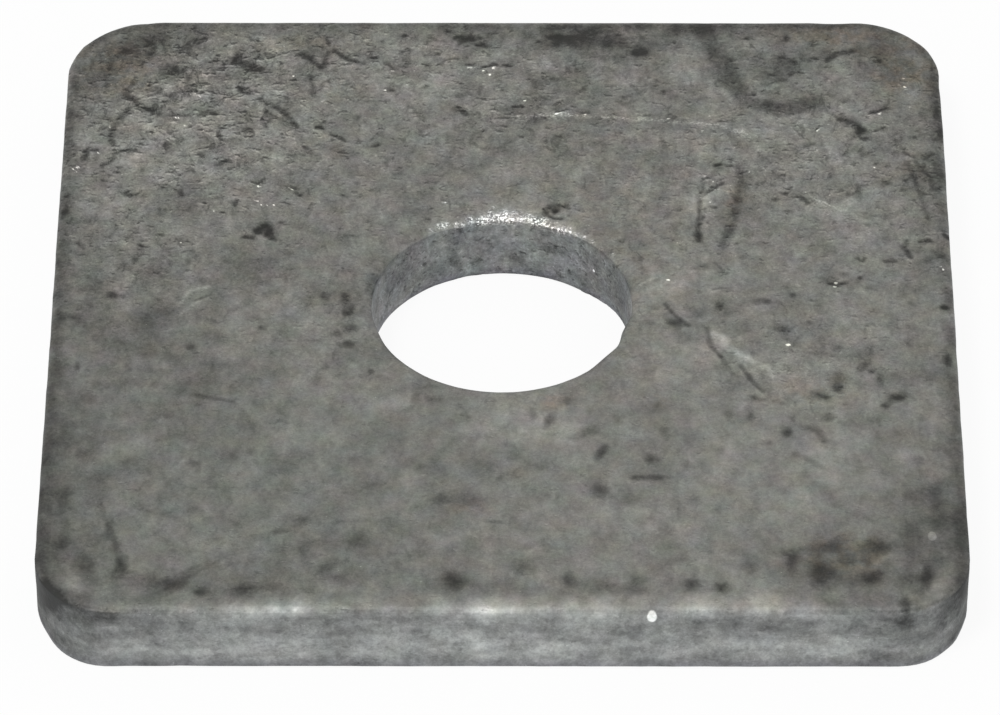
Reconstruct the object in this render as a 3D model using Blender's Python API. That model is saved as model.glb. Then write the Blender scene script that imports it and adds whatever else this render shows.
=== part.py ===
"""Square plate washer: one punched steel plate with rounded corners and a round
bolt hole in the middle, hot-dip galvanised.

It lies flat. The origin is in the middle of the underside, +Z points up through
the bolt hole, and -Y is the front. Lengths are in metres.
"""

import math

import bmesh
import bpy

# Bare steel blank, for a 20 mm bolt
STEEL_SIDE = 0.075
STEEL_THICKNESS = 0.006
STEEL_HOLE_DIAMETER = 0.022

# Zinc coat, which thickens every face and narrows the hole
ZINC_THICKNESS = 0.000085

# Corners of the coated plate, seen from above
BACK_CORNER_RADIUS = 0.0075
FRONT_CORNER_RADIUS = 0.0066

# Upper edges of the coated plate, which shearing and punching draw down: how far the
# rounding reaches across the face, and how far down the wall
EDGE_ROLL_REACH = 0.0009
EDGE_ROLL_DROP = 0.00036
HOLE_ROLL_REACH = 0.001
HOLE_ROLL_DROP = 0.00042

# Lower edges, sharp in the steel and softened by zinc
LOWER_EDGE_RADIUS = 0.0003
HOLE_LOWER_RADIUS = 0.0002

# Facets along each rounded form
CORNER_STEPS = 16
ROLL_STEPS = 6
LOWER_EDGE_STEPS = 3
HOLE_STEPS = 96

# How far the punch reaches past each face
PUNCH_OVERRUN = 0.003
SHARP_ANGLE = math.radians(30)
QUARTER_TURN = math.pi / 2

PLATE_SIDE = STEEL_SIDE + 2 * ZINC_THICKNESS
PLATE_THICKNESS = STEEL_THICKNESS + 2 * ZINC_THICKNESS
HOLE_RADIUS = STEEL_HOLE_DIAMETER / 2 - ZINC_THICKNESS


def clear_scene():
    for obj in list(bpy.data.objects):
        bpy.data.objects.remove(obj)


def arc_points(centre, radii, start, sweep, steps):
    """Points of a round or oval arc in a plane, from its start angle through its sweep, ends included."""
    angles = [start + sweep * step / steps for step in range(steps + 1)]
    return [(centre[0] + radii[0] * math.cos(a), centre[1] + radii[1] * math.sin(a)) for a in angles]


def plate_outline():
    """The plate seen from above, anticlockwise from the front right corner."""
    corners = (
        (1, -1, FRONT_CORNER_RADIUS, -QUARTER_TURN),
        (1, 1, BACK_CORNER_RADIUS, 0),
        (-1, 1, BACK_CORNER_RADIUS, QUARTER_TURN),
        (-1, -1, FRONT_CORNER_RADIUS, 2 * QUARTER_TURN),
    )
    outline = []
    for side_x, side_y, radius, start in corners:
        inset = PLATE_SIDE / 2 - radius
        centre = (side_x * inset, side_y * inset)
        outline += arc_points(centre, (radius, radius), start, QUARTER_TURN, CORNER_STEPS)
    return outline


def edges_at(bm, height):
    """Edges that lie all along one level of the plate."""
    close = ZINC_THICKNESS / 10
    return [e for e in bm.edges if all(abs(v.co.z - height) < close for v in e.verts)]


def round_edges(bm, height, radius, steps):
    """Rounds the edges of the plate at one level."""
    bmesh.ops.bevel(
        bm,
        geom=edges_at(bm, height),
        offset=radius,
        offset_type="OFFSET",
        affect="EDGES",
        segments=steps,
        profile=0.5,
        material=-1,
    )


def flatten_roll(bm):
    """Makes the rounding of the upper edge wider than it is deep, by raising its points."""
    for vert in bm.verts:
        depth = PLATE_THICKNESS - vert.co.z
        if depth < PLATE_THICKNESS / 2:
            vert.co.z = PLATE_THICKNESS - depth * EDGE_ROLL_DROP / EDGE_ROLL_REACH


def make_object(name, bm):
    mesh = bpy.data.meshes.new(name)
    bm.to_mesh(mesh)
    bm.free()
    mesh.shade_smooth()
    mesh.set_sharp_from_angle(angle=SHARP_ANGLE)
    obj = bpy.data.objects.new(name, mesh)
    bpy.context.scene.collection.objects.link(obj)
    return obj


def make_blank():
    """The plate before its hole: the outline raised to its thickness, with its edges rounded."""
    bm = bmesh.new()
    underside = bm.faces.new([bm.verts.new((x, y, 0)) for x, y in plate_outline()])
    raised = bmesh.ops.extrude_face_region(bm, geom=[underside], use_keep_orig=True)
    top = [item for item in raised["geom"] if isinstance(item, bmesh.types.BMVert)]
    bmesh.ops.translate(bm, verts=top, vec=(0, 0, PLATE_THICKNESS))
    bmesh.ops.recalc_face_normals(bm, faces=bm.faces)
    round_edges(bm, PLATE_THICKNESS, EDGE_ROLL_REACH, ROLL_STEPS)
    flatten_roll(bm)
    round_edges(bm, 0, LOWER_EDGE_RADIUS, LOWER_EDGE_STEPS)
    return make_object("plate_washer", bm)


def punch_profile():
    """Half the punch, from below the plate up. It flares at each face, which rounds the hole's rims."""
    lower_flare = HOLE_RADIUS + HOLE_LOWER_RADIUS
    upper_flare = HOLE_RADIUS + HOLE_ROLL_REACH
    lower_centre = (lower_flare, HOLE_LOWER_RADIUS)
    lower_radii = (HOLE_LOWER_RADIUS, HOLE_LOWER_RADIUS)
    lower_rim = arc_points(lower_centre, lower_radii, -QUARTER_TURN, -QUARTER_TURN, LOWER_EDGE_STEPS)
    upper_centre = (upper_flare, PLATE_THICKNESS - HOLE_ROLL_DROP)
    upper_radii = (HOLE_ROLL_REACH, HOLE_ROLL_DROP)
    upper_rim = arc_points(upper_centre, upper_radii, 2 * QUARTER_TURN, -QUARTER_TURN, ROLL_STEPS)
    foot = [(0, -PUNCH_OVERRUN), (lower_flare, -PUNCH_OVERRUN)]
    head = [(upper_flare, PLATE_THICKNESS + PUNCH_OVERRUN), (0, PLATE_THICKNESS + PUNCH_OVERRUN)]
    return foot + lower_rim + upper_rim + head


def make_punch():
    """The turned tool whose shape the bolt hole takes."""
    bm = bmesh.new()
    points = [bm.verts.new((radius, 0, height)) for radius, height in punch_profile()]
    lines = [bm.edges.new(pair) for pair in zip(points, points[1:])]
    bmesh.ops.spin(
        bm,
        geom=points + lines,
        cent=(0, 0, 0),
        axis=(0, 0, 1),
        angle=4 * QUARTER_TURN,
        steps=HOLE_STEPS,
        use_merge=True,
    )
    bmesh.ops.remove_doubles(bm, verts=bm.verts, dist=ZINC_THICKNESS / 100)
    bmesh.ops.recalc_face_normals(bm, faces=bm.faces)
    punch = make_object("punch", bm)
    punch.hide_render = True
    punch.display_type = "WIRE"
    return punch


def punch_hole(plate, punch):
    hole = plate.modifiers.new("bolt_hole", "BOOLEAN")
    hole.operation = "DIFFERENCE"
    hole.solver = "EXACT"
    hole.object = punch


def weathered_zinc():
    """Dull grey hot-dip zinc."""
    material = bpy.data.materials.new("weathered_zinc")
    material.use_nodes = True
    shader = material.node_tree.nodes["Principled BSDF"]
    shader.inputs["Base Color"].default_value = (0.27, 0.27, 0.255, 1)
    shader.inputs["Metallic"].default_value = 0.7
    shader.inputs["Roughness"].default_value = 0.55
    return material


def main():
    clear_scene()
    plate = make_blank()
    plate.data.materials.append(weathered_zinc())
    punch_hole(plate, make_punch())


main()
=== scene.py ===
import math
import random

import bmesh
import bpy
from mathutils import Matrix, Vector, kdtree, noise


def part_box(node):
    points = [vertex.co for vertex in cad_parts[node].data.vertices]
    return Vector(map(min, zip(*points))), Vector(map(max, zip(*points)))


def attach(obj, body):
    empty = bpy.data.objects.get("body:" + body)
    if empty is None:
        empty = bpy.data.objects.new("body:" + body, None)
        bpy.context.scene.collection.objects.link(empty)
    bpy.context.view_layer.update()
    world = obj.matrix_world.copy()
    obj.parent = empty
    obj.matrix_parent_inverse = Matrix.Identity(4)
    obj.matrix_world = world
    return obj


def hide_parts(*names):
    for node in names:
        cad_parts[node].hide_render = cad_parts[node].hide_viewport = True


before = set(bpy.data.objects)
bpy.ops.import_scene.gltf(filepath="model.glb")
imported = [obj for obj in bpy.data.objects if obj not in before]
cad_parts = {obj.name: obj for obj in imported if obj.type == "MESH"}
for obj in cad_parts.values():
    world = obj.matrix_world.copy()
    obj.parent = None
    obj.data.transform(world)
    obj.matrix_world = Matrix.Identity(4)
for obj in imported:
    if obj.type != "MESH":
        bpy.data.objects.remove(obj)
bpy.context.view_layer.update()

# Plate washer
#
# One square of flat steel, cropped with rounded corners and punched with a round bolt
# hole, then dipped in molten zinc. The punch draws the upper rims down, and the zinc
# leaves a dull, pitted skin with lumps in the hole, drip stains, scores and rubbed edges.

MM = 0.001
plate_low, plate_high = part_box("plate_washer")
HALF_SIDE = (plate_high.x - plate_low.x) / 2
THICKNESS = plate_high.z - plate_low.z
HOLE_RADIUS = 10.86 * MM
BACK_CORNER_RADIUS = 7.5 * MM
FRONT_CORNER_RADIUS = 6.6 * MM

# Rounding of the rims: how far it reaches across the face, and how far down the wall
UPPER_RIM = (0.9 * MM, 0.36 * MM)
LOWER_RIM = (0.2 * MM, 0.2 * MM)
HOLE_UPPER_RIM = (1.0 * MM, 0.42 * MM)
HOLE_LOWER_RIM = (0.15 * MM, 0.15 * MM)

# Facets across the cross-section, and round the hole
UNDERSIDE_ROWS = 10
TOP_ROWS = 56
WALL_ROWS = 12
UPPER_RIM_ROWS = 8
LOWER_RIM_ROWS = 3
TURN_STEPS = 500


def even_run(start, end, rows):
    """Points from start towards end, with the end left to the next stretch."""
    return [Vector(start).lerp(Vector(end), row / rows) for row in range(rows)]


def rim_run(out, level, rim, first_turn, rows):
    """A quarter of an oval round a centre, which starts at a number of quarter turns."""
    angles = [(first_turn + row / rows) * math.pi / 2 for row in range(rows)]
    return [Vector((out + rim[0] * math.cos(a), 0, level + rim[1] * math.sin(a))) for a in angles]


def cross_section():
    """The metal cut from the hole to the middle of the right side, anticlockwise."""
    lower_edge, wall_foot = HALF_SIDE - LOWER_RIM[0], LOWER_RIM[1]
    upper_edge, wall_top = HALF_SIDE - UPPER_RIM[0], THICKNESS - UPPER_RIM[1]
    upper_flare, bore_top = HOLE_RADIUS + HOLE_UPPER_RIM[0], THICKNESS - HOLE_UPPER_RIM[1]
    lower_flare, bore_foot = HOLE_RADIUS + HOLE_LOWER_RIM[0], HOLE_LOWER_RIM[1]
    points = even_run((lower_flare, 0, 0), (lower_edge, 0, 0), UNDERSIDE_ROWS)
    points += rim_run(lower_edge, wall_foot, LOWER_RIM, -1, LOWER_RIM_ROWS)
    points += even_run((HALF_SIDE, 0, wall_foot), (HALF_SIDE, 0, wall_top), WALL_ROWS)
    points += rim_run(upper_edge, wall_top, UPPER_RIM, 0, UPPER_RIM_ROWS)
    points += even_run((upper_edge, 0, THICKNESS), (upper_flare, 0, THICKNESS), TOP_ROWS)
    points += rim_run(upper_flare, bore_top, HOLE_UPPER_RIM, 1, UPPER_RIM_ROWS)
    points += even_run((HOLE_RADIUS, 0, bore_top), (HOLE_RADIUS, 0, bore_foot), WALL_ROWS)
    points += rim_run(lower_flare, bore_foot, HOLE_LOWER_RIM, 2, LOWER_RIM_ROWS)
    return points


washer = bmesh.new()
section = [washer.verts.new(point) for point in cross_section()]
loop = [washer.edges.new(pair) for pair in zip(section, section[1:] + section[:1])]
bmesh.ops.spin(
    washer,
    geom=section + loop,
    cent=(0, 0, 0),
    axis=(0, 0, 1),
    angle=2 * math.pi,
    steps=TURN_STEPS,
    use_merge=True,
)
bmesh.ops.recalc_face_normals(washer, faces=washer.faces)

# The turned ring is stretched into a rounded square: round up to ROUND_ZONE from the
# hole's axis, and square, at an even distance from the outline, within RIM_ZONE of it.
ROUND_ZONE = 13 * MM
RIM_ZONE = 1.8 * MM

# Flats and bulges of the outline: direction, half width in degrees, and how far it lies in
# at the foot of the wall and at its top
OUTLINE_DENTS = (
    (129.6, 1.2, 0.14 * MM, 0.14 * MM),
    (52.5, 2.4, 0.14 * MM, 0.14 * MM),
    (37.5, 2.0, 0.09 * MM, 0.09 * MM),
    (136.8, 0.9, -0.07 * MM, -0.07 * MM),
    (140.2, 0.9, -0.06 * MM, -0.06 * MM),
    (43.0, 1.6, -0.05 * MM, -0.05 * MM),
    (-137.8, 3.4, 0.29 * MM, 0),
    (-137.5, 2.0, 0, -0.03 * MM),
    (-132.0, 3.2, -0.17 * MM, 0),
    (-41.5, 2.5, 0.2 * MM, 0),
    (-42.5, 2.2, 0, -0.12 * MM),
    (-47.6, 3.0, -0.16 * MM, 0),
)


def bump_at(distance):
    """A smooth bump: 1 in the middle, 0 from a distance of 1."""
    return (1 - distance * distance) ** 2 if abs(distance) < 1 else 0


def outline_reach(angle, inset, level):
    """How far the outline lies from the hole's axis in a direction, pulled in by an inset."""
    along, aside = abs(math.cos(angle)), abs(math.sin(angle))
    corner = BACK_CORNER_RADIUS if math.sin(angle) > 0 else FRONT_CORNER_RADIUS
    centre = HALF_SIDE - corner
    half = HALF_SIDE - inset
    if half * min(along, aside) <= centre * max(along, aside):
        reach = half / max(along, aside)
    else:
        nearest = (along + aside) * centre
        reach = nearest + math.sqrt(nearest**2 - 2 * centre**2 + (corner - inset) ** 2)
    turn, height = math.degrees(angle), level / THICKNESS
    lies_in = 0
    for at, width, foot_shade, top in OUTLINE_DENTS:
        lies_in += (foot_shade + (top - foot_shade) * height) * bump_at((turn - at) / width)
    return reach - lies_in


# The hole lies a little to the left of the middle, and lumps of zinc stand into it:
# direction, half width in degrees, level, half height, and how far the lump stands out
# (less than nothing: a hollow)
HOLE_SHIFT = Vector((-0.11 * MM, 0.03 * MM, 0))
HOLE_LUMPS = (
    (-17, 13, 5.2 * MM, 2.6 * MM, 0.36 * MM),
    (-38, 12, 5.8 * MM, 1.4 * MM, 0.14 * MM),
    (30, 22, 0.3 * MM, 2.0 * MM, -0.3 * MM),
    (110, 60, 0.2 * MM, 2.5 * MM, 0.13 * MM),
    (72, 14, 5.9 * MM, 1.0 * MM, 0.12 * MM),
    (112, 10, 5.9 * MM, 0.9 * MM, 0.1 * MM),
    (196, 14, 5.0 * MM, 2.0 * MM, 0.14 * MM),
)


def hole_lump(angle, level):
    """How far the zinc stands into the hole in a direction and at a level."""
    turn = math.degrees(angle)
    total = 0
    for at, width, height, spread, stands in HOLE_LUMPS:
        aside = (turn - at + 180) % 360 - 180
        total += stands * bump_at(math.hypot(aside / width, (level - height) / spread))
    return total


def square_up(point):
    """Moves one point of the turned ring to its place in the square plate."""
    out = math.hypot(point.x, point.y)
    angle = math.atan2(point.y, point.x)
    rim_start = HALF_SIDE - RIM_ZONE
    if out > rim_start:
        reach = outline_reach(angle, HALF_SIDE - out, point.z)
        pull = 0
    else:
        share = max(0, (out - ROUND_ZONE) / (rim_start - ROUND_ZONE))
        square = ROUND_ZONE + share * (outline_reach(angle, RIM_ZONE, point.z) - ROUND_ZONE)
        reach = square if out > ROUND_ZONE else out
        pull = 1 - share
    if out < ROUND_ZONE:
        reach -= hole_lump(angle, point.z) * (ROUND_ZONE - out) / (ROUND_ZONE - HOLE_RADIUS)
    spot = Vector((reach * math.cos(angle), reach * math.sin(angle), point.z))
    return spot + HOLE_SHIFT * pull


for vert in washer.verts:
    vert.co = square_up(vert.co)

# Marks on the upper face. Places are in millimetres from the middle of the plate, x to
# the right and y to the back.
#
# Folds in the zinc: half width, darkness, how much painted highlight the front lip gets, and the line
FOLDS = (
    (0.45, 1.0, 0.1, [(-34.8, 19.9), (-35.4, 20.0), (-35.7, 18.7)]),
    (0.35, 0.9, 0.3, [(-33.0, 19.6), (-32.4, 19.9), (-31.4, 20.0)]),
    (0.3, 0.9, 0.5, [(-34.2, 17.9), (-33.7, 18.1), (-33.0, 19.0)]),
    (0.3, 0.6, 0.3, [(-35.0, 13.2), (-34.6, 13.2)]),
    (0.45, 0.7, 0.0, [(-33.3, 20.7), (-33.6, 21.8), (-33.2, 22.6)]),
    (0.3, 0.7, 0.0, [(-26.5, 34.3), (-26.1, 34.7), (-25.8, 35.3)]),
    (0.6, 0.8, 0.0, [(-32.5, 27.3), (-31.7, 26.6), (-31.3, 25.8), (-30.5, 25.4)]),
    (0.25, 0.8, 0.4, [(-30.2, 25.1), (-29.5, 25.5), (-29.1, 25.9)]),
    (0.3, 0.7, 0.2, [(-35.4, 23.1), (-34.9, 23.5)]),
    (0.55, 0.75, 0.1, [(-32.2, 25.4), (-32.8, 24.4), (-33.3, 23.1), (-33.6, 21.7)]),
    (0.3, 0.8, 0.7, [(-28.4, 24.6), (-27.9, 24.6), (-27.2, 24.6)]),
    (0.3, 0.6, 0.7, [(-28.1, 27.7), (-27.0, 27.9), (-25.9, 27.7)]),
    (0.4, 0.7, 0.1, [(-26.0, 24.6), (-25.4, 25.1), (-24.7, 24.8)]),
    (0.5, 1.0, 0.1, [(-22.6, 28.4), (-21.9, 27.6)]),
    (0.3, 0.5, 0.3, [(-34.7, 24.3), (-33.7, 24.0)]),
    (0.4, 0.6, 0.0, [(-30.9, 34.0), (-30.4, 34.3)]),
    (0.55, 0.8, 0.1, [(-17.5, 32.9), (-16.6, 32.1), (-15.8, 31.0), (-15.5, 31.7), (-15.3, 32.9)]),
    (0.4, 0.8, 0.0, [(-15.4, 35.3), (-15.1, 34.2)]),
    (0.5, 1.0, 0.3, [(-14.5, 33.3), (-13.8, 32.4), (-12.8, 31.9)]),
    (0.45, 0.6, 0.3, [(-10.2, 31.8), (-9.5, 31.0)]),
    (0.3, 0.6, 0.1, [(-8.8, 33.3), (-8.2, 33.6)]),
    (0.4, 0.5, 0.0, [(-16.6, 29.9), (-16.4, 27.3)]),
    (0.6, 0.85, 0.0, [(-20.8, 26.7), (-20.2, 26.1), (-19.1, 25.3), (-18.3, 24.2), (-17.8, 23.2)]),
    (0.3, 0.9, 0.2, [(-16.0, 23.0), (-15.4, 22.8)]),
    (0.3, 0.8, 0.2, [(-14.7, 22.1), (-13.9, 21.6)]),
    (0.9, 1.0, 0.2, [(-22.9, 31.9), (-22.1, 31.6), (-21.5, 30.9), (-20.9, 30.8)]),
    (0.25, 0.6, 0.6, [(-5.8, 31.4), (-5.0, 32.1), (-4.0, 32.4)]),
    (0.35, 0.5, 0.0, [(-6.8, 32.8), (-5.6, 32.9)]),
    (0.3, 0.7, 0.8, [(-3.2, 31.5), (-2.6, 31.4)]),
    (0.3, 1.0, 0.8, [(-1.7, 31.2), (-0.6, 31.5)]),
    (0.35, 0.8, 0.1, [(0.1, 31.4), (0.6, 31.3)]),
    (0.3, 0.9, 0.1, [(0.8, 25.8), (1.6, 25.8)]),
    (0.4, 0.6, 0.0, [(-7.4, 25.0), (-7.0, 24.2)]),
    (0.25, 0.7, 0.6, [(-0.5, 24.3), (0.3, 24.3)]),
    (0.25, 0.9, 0.8, [(4.5, 25.1), (5.1, 25.3)]),
    (0.3, 0.7, 0.3, [(3.4, 24.3), (3.7, 24.1)]),
    (0.3, 0.6, 0.1, [(-6.3, 35.2), (-5.8, 34.8)]),
    (0.3, 0.4, 0.0, [(-1.9, 28.5), (-2.1, 27.6)]),
    (0.45, 0.6, 0.3, [(-20.5, 25.2), (-18.2, 23.4)]),
    (0.3, 0.6, 0.4, [(17.0, 15.6), (16.5, 12), (16.2, 8.2)]),
    (0.4, 0.5, 0.2, [(34.4, 18.5), (35.2, 14.5), (35.8, 11)]),
    (0.6, 0.7, 0.0, [(28.0, 32.3), (28.9, 33.0), (30.0, 33.4)]),
    (0.4, 0.6, 0.0, [(23.9, 32.5), (24.9, 32.1), (25.2, 31.6)]),
    (0.7, 1.0, 0.0, [(29.0, 24.2), (29.8, 23.9), (30.3, 23.3), (30.6, 22.4)]),
    (0.35, 0.7, 0.0, [(30.5, 21.5), (31.0, 21.6)]),
    (0.3, 0.9, 0.5, [(31.3, 24.9), (32.0, 25.2), (32.7, 25.6)]),
    (0.3, 0.7, 0.0, [(31.8, 22.6), (32.6, 23.1)]),
    (0.4, 0.6, 0.0, [(35.8, 18.9), (36.6, 19.5)]),
    (0.6, 0.5, 0.0, [(37.1, 26.4), (37.3, 23.8), (37.3, 21.4)]),
    (0.5, 0.5, 0.2, [(35.1, 18.4), (36.1, 16.6), (36.4, 14.8)]),
    (0.35, 0.5, 0.0, [(34.1, 19.7), (34.9, 19.1)]),
    (0.4, 0.9, 0.2, [(-24.3, 18.0), (-23.9, 18.4), (-23.3, 18.6)]),
    (0.25, 0.8, 0.7, [(-21.4, 15.8), (-20.8, 15.4), (-20.2, 16.2)]),
    (0.35, 1.0, 0.0, [(-22.5, 13.3), (-22.7, 12.6)]),
    (0.25, 0.7, 0.3, [(-18.4, 13.0), (-18.0, 12.8)]),
    (0.4, 0.6, 0.1, [(-14.6, 22.0), (-13.5, 21.1)]),
    (0.5, 0.9, 0.0, [(-21.7, 8.6), (-21.1, 8.5)]),
    (0.6, 0.9, 0.0, [(-20.6, 9.2), (-20.2, 10.0), (-19.8, 10.0), (-19.5, 9.2), (-19.4, 8.3)]),
    (0.4, 1.0, 0.1, [(18.0, 17.9), (18.4, 18.1)]),
    (0.35, 0.8, 0.1, [(19.0, 17.9), (19.4, 18.0)]),
    (0.4, 0.8, 0.3, [(18.5, 15.6), (17.8, 15.0), (17.2, 14.3), (16.8, 13.9)]),
    (0.45, 1.0, 0.0, [(16.4, 9.1), (16.4, 8.0)]),
    (0.35, 0.9, 0.0, [(3.4, 12.2), (3.7, 11.4), (4.2, 11.0), (4.9, 10.9)]),
    (0.3, 0.7, 0.0, [(4.7, 12.8), (5.5, 12.3)]),
    (0.35, 0.6, 0.4, [(25.6, 20.4), (26.5, 20.9)]),
    (0.5, 0.9, 0.1, [(25.2, 13.8), (25.5, 13.4), (25.7, 13.0)]),
    (0.4, 1.0, 0.5, [(27.3, 2.6), (28.4, 2.6)]),
    (0.45, 1.0, 0.1, [(35.0, 8.0), (35.8, 8.1)]),
    (0.4, 0.7, 0.1, [(33.9, 8.1), (33.7, 7.1), (34.0, 6.4), (34.2, 5.9)]),
    (0.45, 0.6, 0.1, [(30.0, 15.3), (30.0, 14.5), (29.3, 14.1)]),
    (0.3, 0.7, 0.4, [(29.7, 5.8), (30.1, 5.4), (30.3, 5.8)]),
    (0.35, 0.7, 0.1, [(32.0, 5.4), (32.8, 5.5)]),
    (0.4, 0.7, 0.0, [(37.1, 9.0), (37.4, 8.6)]),
    (0.3, 0.7, 0.3, [(6.8, 25.0), (7.3, 25.0)]),
    (0.25, 0.7, 0.3, [(12.1, 24.7), (12.5, 24.6)]),
    (0.25, 0.6, 0.1, [(18.4, 23.9), (18.8, 23.8)]),
)

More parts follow.
